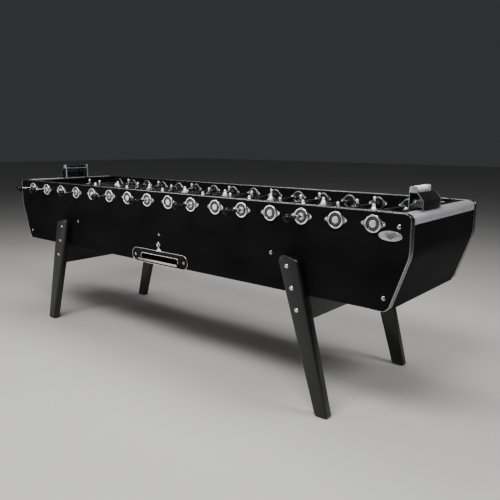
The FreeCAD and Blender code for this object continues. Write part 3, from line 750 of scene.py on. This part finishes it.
def marked_ring(face):
    """The black ring of a bearing with its groove, and the band and ticks that lie on it."""
    inner = cap_radius + 8.3 * mm
    ring = lathe_mesh("bush_ring", [
        (cap_radius - 1.5 * mm, 0), (cap_radius - 1.5 * mm, face + 0.4 * mm),
        (cap_radius + 0.6 * mm, face + 0.4 * mm), (cap_radius + 1.2 * mm, face),
        (cap_radius + 8.0 * mm, face + 0.1 * mm), (cap_radius + 8.4 * mm, face + 0.7 * mm),
        (cap_radius + 9.0 * mm, face + 0.7 * mm), (cap_radius + 9.4 * mm, face + 0.2 * mm),
        (bush_radius - 1.6 * mm, face + 0.3 * mm), (bush_radius, face + 1.4 * mm), (bush_radius, 0)], 64)
    band = lathe_mesh("band", [
        (inner, face + 0.6 * mm), (inner + 0.2 * mm, face + 0.2 * mm),
        (inner + 0.6 * mm, face + 0.2 * mm), (inner + 0.8 * mm, face + 0.6 * mm)], 64)
    tick_half = 0.55 * mm
    tick_reach = 2.0 * mm
    tick = plate_mesh("tick", [block_outline(-tick_half, tick_half, -tick_reach, tick_reach, 0.3 * mm, 45)],
                      -0.5 * mm, 0.5 * mm, 0.1 * mm, 1)
    marks = [(band, unmoved)]
    for k in range(tick_count):
        spin = Matrix.Rotation(2 * math.pi * (k + 0.5) / tick_count, 4, "Y")
        marks.append((tick, spin @ shifted(0, face + 0.25 * mm, cap_radius + 4.6 * mm)))
    return ring, joined(marks)


def bearing_parts():
    """Meshes of one bearing about the origin, its outer face pointing to -Y."""
    crown = -outer_flange_height
    face = crown + bush_recess
    seat = [(cap_radius - 0.2 * mm, face + 0.4 * mm)]
    cap = lathe_mesh("cap", [(0, face + 0.4 * mm)] + seat
                     + arc(cap_radius - 1.5 * mm, crown + 1.9 * mm, 1.5 * mm, 0, -80, 5)
                     + [(cap_radius - 4.0 * mm, crown + 0.15 * mm), (0, crown)], 48)
    bore = tube_radius + 0.3 * mm
    collar = lathe_mesh("collar", [(bore, face + 0.4 * mm)] + seat
                        + arc(cap_radius - 1.3 * mm, crown + 1.5 * mm, 1.3 * mm, 0, -90, 5)
                        + [(cap_radius - 2.2 * mm, crown + 1.4 * mm), (bore + 2.2 * mm, crown + 1.4 * mm)]
                        + arc(bore + 1.0 * mm, crown + 1.0 * mm, 1.0 * mm, -20, -160, 6), 48)
    return marked_ring(face) + (cap, collar)


def bearings():
    """The flanges, black rings, caps and collars of both sides."""
    ring, marks, cap, collar = bearing_parts()
    outer_rim, plate = flange_meshes(outer_flange_height)
    inner_flange = [turned(part) for part in flange_meshes(inner_flange_height)]
    inner_face = -half_width + trim_width
    outer = {index: shifted(x, -half_width, z) for index, (x, z) in places.items()}
    inner = [shifted(x, inner_face, z) for x, z in places.values()]

    def on_every_rod(mesh):
        return joined([(mesh, place) for place in outer.values()])

    both_sides("bearing_rims", on_every_rod(outer_rim), chrome, ("bearing_flanges",), 40)
    # the ear plates and the inner flanges take the darkened chrome as painted shade
    both_sides("bearing_plates", on_every_rod(plate), painted_shade_chrome, (), 40)
    both_sides("inner_flanges", joined([(part, place) for place in inner for part in inner_flange]),
               painted_shade_chrome, (), 40)
    both_sides("bearing_rings", on_every_rod(ring), bush_black, ("bearing_bushes",))
    both_sides("bearing_marks", on_every_rod(marks), mark_metal)
    caps = [(collar if index in near_lines else cap, place) for index, place in outer.items()]
    both_sides("bearing_caps", joined(caps), cap_metal)


def bush_cores():
    """The plastic barrels inside the walls, seen round the bore on the inner side of each wall."""
    face = -half_width - outer_flange_height + bush_recess + 2 * mm
    depth = -half_width + trim_width + inner_flange_height - face
    barrel = bush_radius - 0.5 * mm
    cores = []
    for bore in (tube_radius + 0.08 * mm, inner_bore):
        cores.append(lathe_mesh("core", [
            (bore, 0), (barrel, 0), (barrel, depth - 3.6 * mm), (barrel - 1.5 * mm, depth - 1.6 * mm),
            (bore + 6 * mm, depth - 1.2 * mm), (bore + 5 * mm, depth - 0.2 * mm), (bore + 1.2 * mm, depth),
            (bore, depth - 1.2 * mm)], 48))
    copies = []
    for index, (x, z) in places.items():
        copies.append((cores[0] if index in near_lines else cores[1], shifted(x, face, z)))
    both_sides("bush_cores", joined(copies), bush_black)


# ---------------------------------------------------------------- rods and players

def superellipse(half_x, half_y, z, power, steps):
    ring = []
    for k in range(steps):
        angle = 2 * math.pi * k / steps
        c = math.cos(angle)
        s = math.sin(angle)
        ring.append(Vector((half_x * math.copysign(abs(c) ** (2 / power), c),
                            half_y * math.copysign(abs(s) ** (2 / power), s), z)))
    return ring


def loft(name, sections, steps=28):
    """A closed skin through sections in mm (z, half depth, half width, squareness)."""
    work = bmesh.new()
    rings = []
    for z, half_x, half_y, power in sections:
        ring = superellipse(half_x * mm, half_y * mm, z * mm, power, steps)
        rings.append([work.verts.new(point) for point in ring])
    for first, second in zip(rings, rings[1:]):
        for k in range(steps):
            following = (k + 1) % steps
            work.faces.new((first[k], first[following], second[following], second[k]))
    work.faces.new(rings[0])
    work.faces.new(rings[-1])
    return mesh_from(work, name)


def combined(name, meshes, operation):
    """Meshes joined into one skin, by union or difference from the first."""
    base = bpy.data.objects.new(name, meshes[0])
    bpy.context.scene.collection.objects.link(base)
    tools = []
    for mesh in meshes[1:]:
        tool = bpy.data.objects.new(name + "_tool", mesh)
        bpy.context.scene.collection.objects.link(tool)
        tools.append(tool)
        modifier = base.modifiers.new("combine", "BOOLEAN")
        modifier.operation = operation
        modifier.solver = "EXACT"
        modifier.object = tool
    graph = bpy.context.evaluated_depsgraph_get()
    result = bpy.data.meshes.new_from_object(base.evaluated_get(graph), depsgraph=graph)
    for tool in tools:
        bpy.data.objects.remove(tool)
    bpy.data.objects.remove(base)
    return result


def player_head():
    """The head of a player: a narrow egg above the rod's axis."""
    profile = [(0, -head_radius)] + arc(0, 0, head_radius, -80, 80, 12) + [(0, head_radius)]
    head = lathe_mesh("head", profile, 24)
    head.transform(Matrix.Rotation(math.radians(90), 4, "X"))
    head.transform(Matrix.Diagonal((0.70, 0.66, 1.0, 1.0)))
    head.transform(shifted(0, 0, head_centre))
    return head


def player_arm(side):
    """An arm that hangs at one side of a player."""
    profile = [(0, -13 * mm)] + arc(0, -10 * mm, 3.0 * mm, -80, 0, 4)
    profile += arc(0, 9 * mm, 3.2 * mm, 0, 80, 4) + [(0, 12.2 * mm)]
    arm = lathe_mesh("arm", profile, 14)
    arm.transform(Matrix.Rotation(math.radians(90), 4, "X"))
    arm.transform(Matrix.Rotation(math.radians(side * 5), 4, "X"))
    arm.transform(shifted(0, side * 9.6 * mm, 6 * mm))
    return arm


def player_body():
    """The body of a player about the rod's axis, with arms, a hub round the tube and a flared foot."""
    trunk = loft("trunk", (
        (-76.0, 12.6, 11.8, 6), (-75.2, 13.6, 12.6, 6), (-66.0, 14.0, 13.0, 5.5), (-61.0, 13.3, 12.9, 5),
        (-57.0, 11.6, 12.4, 4), (-46.0, 10.8, 12.0, 3.4), (-32.0, 10.6, 11.8, 3), (-20.0, 11.6, 12.2, 2.8),
        (-8.0, 13.6, 13.2, 2.6), (0.0, 14.4, 13.8, 2.6), (7.0, 14.2, 13.6, 2.6), (13.0, 13.0, 12.8, 2.5),
        (18.0, 11.2, 11.4, 2.4), (23.0, 8.8, 9.2, 2.2), (28.0, 6.6, 6.6, 2)))
    hub_round = 1.6 * mm
    hub = lathe_mesh("hub", [(0, -12 * mm)] + arc(11.4 * mm, -10.4 * mm, hub_round, -90, 0, 4)
                     + arc(11.4 * mm, 10.4 * mm, hub_round, 0, 90, 4) + [(0, 12 * mm)], 32)
    figure = combined("figure", [trunk, hub, player_arm(-1), player_arm(1)], "UNION")
    grooves = []
    for side in (-1, 1):
        groove = loft("groove", (
            (-58.0, 0.4, 0.4, 2), (-52.0, 2.6, 1.5, 2), (-24.0, 2.6, 1.5, 2), (-17.0, 0.4, 0.4, 2)), 12)
        groove.transform(shifted(side * 11.6 * mm, 0, 0))
        grooves.append(groove)
    bore = tube_radius + tube_fit
    reach = 30 * mm
    drill = lathe_mesh("bore", [(0, -reach), (bore, -reach), (bore, reach), (0, reach)])
    return combined("figure", [figure] + grooves + [drill], "DIFFERENCE")


def knob_mesh():
    """The ball knob about its own centre, its flat towards +Y."""
    flat = math.sqrt(knob_radius ** 2 - ferrule_radius ** 2)
    flat_angle = math.degrees(math.asin(flat / knob_radius))
    profile = [(0, -knob_radius)] + arc(0, 0, knob_radius, -86, flat_angle, 22)
    profile += [(ferrule_radius - 0.6 * mm, flat), (0, flat)]
    return finish_mesh(lathe_mesh("knob", profile, 48), knob_black, 40)


def ferrule_mesh():
    """The chrome cup between a knob and its tube, starting at y = 0."""
    bore = tube_radius + tube_fit
    neck = ferrule_radius - 0.6 * mm
    profile = [(bore, 0), (ferrule_radius - 0.4 * mm, 0), (ferrule_radius, 0.5 * mm),
               (ferrule_radius, 3.2 * mm), (neck, 3.7 * mm), (neck, 4.5 * mm)]
    profile += arc(ferrule_radius - 2.2 * mm, ferrule_length - 2.2 * mm, 2.0 * mm, 0, 80, 6)
    profile += [(bore, ferrule_length)]
    return finish_mesh(lathe_mesh("ferrule", profile, 40), rod_chrome, 35)


def bumper_mesh():
    """A ribbed rubber bumper, from y = 0 to its length."""
    bore = tube_radius + tube_fit
    rib_count = 3
    rib = bumper_length / rib_count
    rib_round = 1.6 * mm
    profile = [(bore, 0)]
    for k in range(rib_count):
        start = k * rib
        profile += arc(bumper_radius - rib_round, start + 1.7 * mm, rib_round, -90, 0, 4)
        profile += arc(bumper_radius - rib_round, start + rib - 1.7 * mm, rib_round, 0, 90, 4)
        if k < rib_count - 1:
            profile += [(bumper_radius - 2.6 * mm, start + rib)]
    profile += [(bore, bumper_length)]
    return finish_mesh(lathe_mesh("bumper", profile, 36), rubber, 50)


def tube_mesh(length):
    """The sliding tube from y = 0, open and chamfered at its far end."""
    profile = [(inner_bore, 0), (tube_radius, 0), (tube_radius, length - 0.6 * mm),
               (tube_radius - 0.5 * mm, length), (inner_bore + 0.2 * mm, length),
               (inner_bore, length - 0.4 * mm)]
    return finish_mesh(lathe_mesh("tube", profile, 32), rod_chrome, 30)


def inner_rod_mesh():
    """The rod that a tube slides on, with a chamfer at the end inside the tube."""
    low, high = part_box("inner_rod_01")
    radius = (high.x - low.x) / 2
    chamfer = 1 * mm
    profile = [(0, low.y), (radius - chamfer, low.y), (radius, low.y + chamfer), (radius, high.y),
               (0, high.y)]
    return finish_mesh(lathe_mesh("inner_rod", profile, 32), rod_chrome, 30)


def rods():
    """Every sliding rod with its knob, bumpers and players, and the inner rod that carries it."""
    body_mesh = player_body()
    head = finish_mesh(player_head(), casting, 48)
    bright_body = finish_mesh(body_mesh.copy(), casting, 48)
    black_body = finish_mesh(body_mesh, enamel, 48)
    low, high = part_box("rod_01")
    tube_start = low.y + 2 * knob_radius - tube_socket
    knob_centre = low.y + knob_radius
    ferrule_start = knob_centre + math.sqrt(knob_radius ** 2 - ferrule_radius ** 2)
    fittings = (("knob", knob_mesh(), "knob_plastic", knob_centre),
                ("ferrule", ferrule_mesh(), "rod_chrome", ferrule_start))
    bumper = bumper_mesh()
    tube = tube_mesh(high.y - tube_start)
    inner = inner_rod_mesh()
    for index, (x, z) in places.items():
        near = index in near_lines
        line = near_lines[index] if near else near_lines[rod_count + 1 - index]
        body = f"rod_{index:02d}"
        base = shifted(x, 0, z) if near else shifted(x, 0, z) @ half_turn
        place_piece(f"inner_{body}_chrome", inner, "inner_" + body, ("inner_" + body,), base)
        place_piece(body + "_tube", tube, body, (body,), base @ shifted(0, tube_start, 0))
        for name, mesh, slot, start in fittings:
            place_piece(f"{body}_{name}", mesh, body, (), base @ shifted(0, start, 0))
        travel = max(line) + min(line)
        for name, start in (("far", high.y - bumper_length), ("near", travel - high.y)):
            at = base @ shifted(0, start, 0)
            place_piece(f"{body}_bumper_{name}", bumper, body, (), at)
        player = black_body if near else bright_body
        slot = "black_enamel" if near else "cast_aluminium"
        for order, place in enumerate(line, 1):
            at = base @ shifted(0, place, 0)
            place_piece(f"{body}_player_{order}", player, body, (), at)
            # on the black near-team players the bright head is a painted highlight
            place_piece(f"{body}_head_{order}", head, body, (), at)


# ---------------------------------------------------------------- legs, beams and ball trays

def leg_boards():
    """A leg board, softly rounded along its outer edges and crisp against the cabinet, and its pad."""
    low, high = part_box("leg_near_right")
    pad_height = 3 * mm
    outline = rounded([
        (leg_inner_foot - leg_inner_ratio * leg_inner_top, leg_inner_top, 26 * mm),
        (leg_outer_foot - leg_outer_ratio * leg_outer_top, leg_outer_top, 26 * mm),
        (leg_outer_foot - leg_outer_ratio * pad_height, pad_height, 8 * mm),
        (leg_inner_foot - leg_inner_ratio * pad_height, pad_height, 5 * mm),
    ], 6.0)
    split = low.y + 14 * mm
    front = plate_mesh("leg", [outline], low.y, split, 11 * mm, 6, domed_side=-1)
    back = plate_mesh("leg_back", [outline], split - 0.01 * mm, high.y, 0.8 * mm, 2, domed_side=1)
    inset = 8 * mm
    pad_inner = leg_inner_foot + inset
    pad_outer = leg_outer_foot - inset
    pad_top = pad_height + 2 * mm
    pad_outline = rounded([(pad_inner, pad_top, 0), (pad_outer, pad_top, 0), (pad_outer, 0, 1 * mm),
                           (pad_inner, 0, 1 * mm)], 20)
    pad = plate_mesh("pad", [pad_outline], low.y + inset, high.y - inset, 0.5 * mm, 1)
    return finish_mesh(gathered([front, back]), lacquer, 35), finish_mesh(pad, bush_black)


def legs():
    """Four splayed boards on small pads."""
    board_mesh, pad = leg_boards()
    for name, matrix in (("near_right", unmoved), ("near_left", mirror_x), ("far_left", half_turn),
                         ("far_right", half_turn @ mirror_x)):
        for label, mesh, slot in (("board", board_mesh, "leg_lacquer"), ("pad", pad, "bush_plastic")):
            shown = turned(mesh, matrix)
            if matrix.determinant() < 0:
                shown.flip_normals()
            replaced = (f"leg_{name}",) if label == "board" else ()
            place_piece(f"leg_{name}_{label}", shown, "root", replaced)


def cross_beams():
    """The lacquered beam between the legs at each end."""
    low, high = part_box("cross_beams")
    inner = 893 * mm
    outline = rounded([(inner, high.z, 2 * mm), (high.x, high.z, 2 * mm), (high.x, low.z, 4 * mm),
                       (inner, low.z, 4 * mm)], 15)
    mesh = plate_mesh("cross_beam", [outline], low.y, high.y, 0.8 * mm, 2)
    both_ends("cross_beam", mesh, lacquer, ("cross_beams",))


def tray_inset(step):
    radius = (tray_top - tray_bottom) / 2 - 0.5 * mm - step
    half_long = tray_half_length - step
    return block_outline(-half_long, half_long, tray_bottom + step, tray_top - step, radius, 6.0)


def about_mouth(step):
    half_long = 144 * mm + step
    return block_outline(-half_long, half_long, 526 * mm - step, 558 * mm + step, 11 * mm + step, 6.0)


def along_x(profile, half_long, edge):
    """A bar along X from -half_long to half_long whose (y, z) profile is given."""
    bar = plate_mesh("bar", [profile], -half_long, half_long, edge, 2)
    bar.transform(Matrix.Rotation(math.radians(90), 4, "Z"))
    return bar


def tray_finial(front, back):
    """A plain lozenge on a neck that spreads into the rim of the tray, and the dark field inside it, a
    painted dark reflection.
    """
    crest_z = tray_crest - crest_half
    right_side = [(5.5 * mm, crest_z, 0), (5.5 * mm, tray_top + 12 * mm, 10 * mm),
                  (20 * mm, tray_top + 1 * mm, 24 * mm), (38 * mm, tray_top - 5 * mm, 0)]
    left_side = [(-x, z, radius) for x, z, radius in right_side[::-1]]
    neck = plate_mesh("neck", [rounded(left_side + right_side, 8.0)], front + 0.5 * mm, back, 1.6 * mm, 3)

    def lozenge(share, corner):
        reach = crest_half * share
        corners = ((0, reach), (reach, 0), (0, -reach), (-reach, 0))
        return rounded([(x, crest_z + z, corner) for x, z in corners], 12.0)

    hollow = lozenge(0.64, 1 * mm)
    rim = plate_mesh("crest_rim", [lozenge(1, 2 * mm), hollow], front - 2 * mm, back, 1.8 * mm, 4)
    field = plate_mesh("crest_field", [hollow], front - 0.2 * mm, back, 0.3 * mm, 1)
    boss = plate_mesh("crest_boss", [lozenge(0.28, 1 * mm)], front - 1.6 * mm, back, 1.6 * mm, 4)
    return [neck, rim, boss], field


def tray_lip(front):
    """The rounded lip that stops the ball, and the cheek that closes each of its ends."""
    reach = -half_width - 20 * mm
    root = front + 1 * mm
    low = 521 * mm
    high = 534 * mm
    inner = reach + 4 * mm
    lip = along_x(rounded([
        (reach, high, 1.9 * mm), (reach, low, 4.5 * mm), (root, low, 0), (root, low + 3 * mm, 0),
        (inner, low + 3.2 * mm, 2 * mm), (inner, high, 1.9 * mm)], 12.0), lip_half, 0.6 * mm)
    edge = 0.5 * mm
    cheek = along_x(rounded([
        (reach + edge, high - edge, 5 * mm), (root, high - edge, 0), (root, low + edge, 0),
        (reach + edge, low + edge, 5 * mm)], 12.0), 2 * mm, 0.8 * mm)
    return [(lip, unmoved)] + [(cheek, shifted(side * (lip_half - 2 * mm), 0, 0)) for side in (-1, 1)]


def ball_trays():
    """The frame of each ball mouth: a black field between two bright rims, with a finial and a lip. The
    black field is a painted dark reflection.
    """
    back = -half_width - 0.3 * mm
    front = -half_width - tray_plate
    outlines = [tray_inset(2 * mm), about_mouth(1 * mm)]
    field = plate_mesh("tray_field", outlines, front + 2.2 * mm, back, 0.4 * mm, 2)
    outer_rim = plate_mesh("tray_rim", [tray_inset(0), tray_inset(3.2 * mm)], front, back, 1.4 * mm, 4)
    inner_rim = plate_mesh("mouth_rim", [about_mouth(5 * mm), about_mouth(0)], front, back, 2.0 * mm, 4)
    finial, crest_field = tray_finial(front, back)
    bright = [(mesh, unmoved) for mesh in [outer_rim, inner_rim] + finial] + tray_lip(front)
    both_sides("ball_tray_frame", joined(bright), tray_metal, ("ball_trays",), 32)
    both_sides("ball_tray_field", gathered([field, crest_field]), tray_dark_reflection)


# ---------------------------------------------------------------- score units

def case_profile(inset):
    """The corner heights and x of the slanted front of a score case, moved in by inset."""
    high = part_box("score_cases")[1]
    slant_angle = math.atan2(high.x - case_slant_head, high.z - case_slant_foot)
    foot = case_slant_foot - inset * math.tan(slant_angle / 2)
    head = case_slant_head - inset * math.tan((math.pi / 2 - slant_angle) / 2)
    return foot, head, high.x - inset, high.z - inset


def sheet_outline(inset):
    """The side view of a score case at the right end, moved in by inset."""
    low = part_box("score_cases")[0]
    foot, head, outer, top = case_profile(inset)
    step = case_step - inset
    return rounded([
        (case_inner + inset, low.z + inset, 0), (step, low.z + inset, 0), (step, case_floor + inset, 0),
        (outer, case_floor + inset, 0), (outer, foot, 3 * mm), (head, top, 3 * mm),
        (case_inner + inset, top, 0)], 12)


def case_pieces():
    """The smoked cover, the clear side sheets and their polished edges of a case about y = 0."""
    foot, head, outer, top = case_profile(0)
    inner_foot, inner_head, inner_outer, inner_top = case_profile(case_wall)
    cover_outline = rounded([
        (outer, case_floor, 0), (outer, foot, 3 * mm), (head, top, 3 * mm), (case_inner, top, 0),
        (case_inner, inner_top, 0), (inner_head, inner_top, 1 * mm), (inner_outer, inner_foot, 1 * mm),
        (inner_outer, case_floor, 0)], 12)
    cover_half = case_half - case_wall - 0.1 * mm
    cover = plate_mesh("cover", [cover_outline], -cover_half, cover_half, 0.2 * mm, 1)
    whole = sheet_outline(0)
    inside = sheet_outline(1.1 * mm)
    sunk = 0.15 * mm
    sheets = []
    edges = []
    for start in (-case_half, case_half - case_wall):
        end = start + case_wall
        sheets.append(plate_mesh("sheet", [inside], start + sunk, end - sunk, 0.05 * mm, 1))
        edges.append(plate_mesh("sheet_edge", [whole, inside], start, end, 0.4 * mm, 2))
    return [("cover", finish_mesh(cover, smoked_sheet, 30), "smoked_acrylic"),
            ("sheets", finish_mesh(gathered(sheets), clear_sheet, 30), "smoked_acrylic"),
            ("sheet_edges", finish_mesh(gathered(edges), edge_sheet, 30), "smoked_acrylic")]


def cradle_mesh(length, wheel_x, wheel_z):
    """The bent metal cradle of a score unit about y = 0, from its near side, with the axle of its wheels."""
    low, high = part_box("score_bridges")
    depth = 30 * mm
    near_end = -case_half
    far_end = near_end + length
    strip = block_outline(case_inner, case_inner + depth, low.z, low.z + 3 * mm, 0.6 * mm, 30)
    block = rounded([(case_inner, high.z, 6 * mm), (case_inner + depth, high.z, 6 * mm),
                     (case_inner + depth, low.z, 1 * mm), (case_inner, low.z, 1 * mm)], 10)
    arm_inner = case_inner - 0.3 * mm
    arm_outer = case_inner + 1.5 * mm
    arm = rounded([(arm_inner, low.z, 0), (arm_outer, low.z, 0), (arm_outer, 902 * mm, 0.4 * mm),
                   (arm_inner, 902 * mm, 0.4 * mm)], 30)
    parts = [plate_mesh("strip", [strip], near_end, far_end, 0.4 * mm, 2)]
    for start in (near_end, far_end - bridge_block):
        end = start + bridge_block
        parts.append(plate_mesh("block", [block], start, end, 1.2 * mm, 3))
        if abs(start) > case_half - 2 * bridge_block:
            parts.append(plate_mesh("arm", [arm], start, end, 0.3 * mm, 1))
    axle_radius = 3 * mm
    axle_start = near_end + 2 * mm
    axle_end = far_end - 2 * mm
    axle = lathe_mesh("axle", [(0, axle_start), (axle_radius, axle_start), (axle_radius, axle_end),
                               (0, axle_end)], 24)
    axle.transform(shifted(wheel_x, 0, wheel_z))
    return finish_mesh(gathered(parts + [axle]), bridge_metal, 35)


def wheel_mesh(length, radius):
    """A ribbed finger wheel about Y, from y = 0 to its length, its end ribs lower than the rest."""
    bore = 3.08 * mm
    rib_count = round(length / (9 * mm))
    rib = length / rib_count
    profile = [(bore, 0), (radius - 4 * mm, 0)]
    for k in range(rib_count):
        start = k * rib
        end = start + rib
        swell = radius - (2.6 * mm if k in (0, rib_count - 1) else 0.0)
        profile += [(swell - 1.5 * mm, start + 0.5 * mm), (swell - 0.4 * mm, start + 1.6 * mm),
                    (swell, start + rib / 2), (swell - 0.4 * mm, end - 1.6 * mm),
                    (swell - 1.5 * mm, end - 0.5 * mm)]
    profile += [(radius - 4 * mm, length), (bore, length)]
    return lathe_mesh("wheel", profile, 40)


def score_units():
    """A clear case with a smoked cover, a metal cradle and two finger wheels at each end."""
    stands_for = {"cover": ("score_cases",), "cradle": ("score_bridges",)}
    wheel_inset = bridge_block + 0.5 * mm
    for end, material, slot in (("right", ivory, "ivory_plastic"), ("left", knob_black, "knob_plastic")):
        near_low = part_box(f"score_wheel_{end}_near")[0]
        far_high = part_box(f"score_wheel_{end}_far")[1]
        wheel_z = (near_low.z + far_high.z) / 2
        wheel_x = abs(near_low.x + far_high.x) / 2
        cradle = cradle_mesh(far_high.y - near_low.y + 2 * wheel_inset, wheel_x, wheel_z)
        if end == "right":
            at = shifted(0, near_low.y - wheel_inset + case_half, 0)
        else:
            at = shifted(0, far_high.y + wheel_inset - case_half, 0) @ half_turn
        for label, mesh, piece_slot in case_pieces() + [("cradle", cradle, "bridge_aluminium")]:
            replaced = stands_for.get(label, ()) if end == "right" else ()
            place_piece(f"score_{label}_{end}", mesh, "root", replaced, at)
        for side in ("near", "far"):
            node = f"score_wheel_{end}_{side}"
            low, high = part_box(node)
            wheel = finish_mesh(wheel_mesh(high.y - low.y, (high.z - low.z) / 2), material, 50)
            at_axle = shifted((low.x + high.x) / 2, low.y, wheel_z)
            place_piece(f"{node}_roller", wheel, node, (node,), at_axle)


# ---------------------------------------------------------------- studio

def floor_plane():
    """A plain pale floor."""
    size = 30.0
    mesh = bpy.data.meshes.new("studio_floor")
    corners = [(-size, -size, 0), (size, -size, 0), (size, size, 0), (-size, size, 0)]
    mesh.from_pydata(corners, [], [(0, 1, 2, 3)])
    mesh.materials.append(pale_floor())
    floor = bpy.data.objects.new("studio_floor", mesh)
    bpy.context.scene.collection.objects.link(floor)


def area_light(name, place, aim, size_x, size_y, power):
    light = bpy.data.lights.new(name, "AREA")
    light.shape = "RECTANGLE"
    light.size = size_x
    light.size_y = size_y
    light.energy = power
    lamp = bpy.data.objects.new(name, light)
    bpy.context.scene.collection.objects.link(lamp)
    lamp.location = place
    lamp.rotation_euler = (Vector(aim) - Vector(place)).to_track_quat("-Z", "Y").to_euler()


def studio():
    """A pale floor, a dim even room and four soft lights."""
    floor_plane()
    world = bpy.data.worlds.new("studio")
    world.use_nodes = True
    background = world.node_tree.nodes["Background"]
    background.inputs["Color"].default_value = (0.80, 0.82, 0.86, 1)
    background.inputs["Strength"].default_value = 0.045
    bpy.context.scene.world = world
    area_light("key", (0.9, -2.2, 3.7), (0.1, 0, 0.8), 2.6, 1.1, 165)
    area_light("fill", (-3.1, -3.7, 1.35), (-0.2, 0, 0.8), 2.2, 2.4, 58)
    area_light("side", (3.5, 0.5, 2.9), (1.0, 0, 0.85), 1.2, 1.2, 60)
    area_light("top", (-0.6, 0.3, 3.5), (-0.4, 0, 0.8), 2.4, 0.8, 60)


def camera():
    """The view from the near right, at standing height."""
    lens = bpy.data.cameras.new("camera")
    lens.sensor_width = 36
    lens.lens = 39.567
    viewer = bpy.data.objects.new("camera", lens)
    bpy.context.scene.collection.objects.link(viewer)
    viewer.location = (2.2009, -2.2599, 1.1459)
    yaw, pitch, roll = 0.6918, -0.1904, 0.0068
    viewer.rotation_mode = "QUATERNION"
    ahead = Vector((-math.sin(yaw) * math.cos(pitch), math.cos(yaw) * math.cos(pitch), math.sin(pitch)))
    level = ahead.to_track_quat("-Z", "Y")
    viewer.rotation_quaternion = level @ Matrix.Rotation(roll, 3, "Z").to_quaternion()
    bpy.context.scene.camera = viewer


dress(("side_panel_near", "side_panel_far", "end_panel_left", "end_panel_right", "end_wall_left",
       "end_wall_right"), laminate)
dress(("playfield",), linoleum)
dress(("cabinet_floor", "ball_ramps"), board)
edge_trims()
end_rails()
deck_strips()
badge()
screws()
bearings()
bush_cores()
rods()
legs()
cross_beams()
ball_trays()
score_units()
studio()
camera()
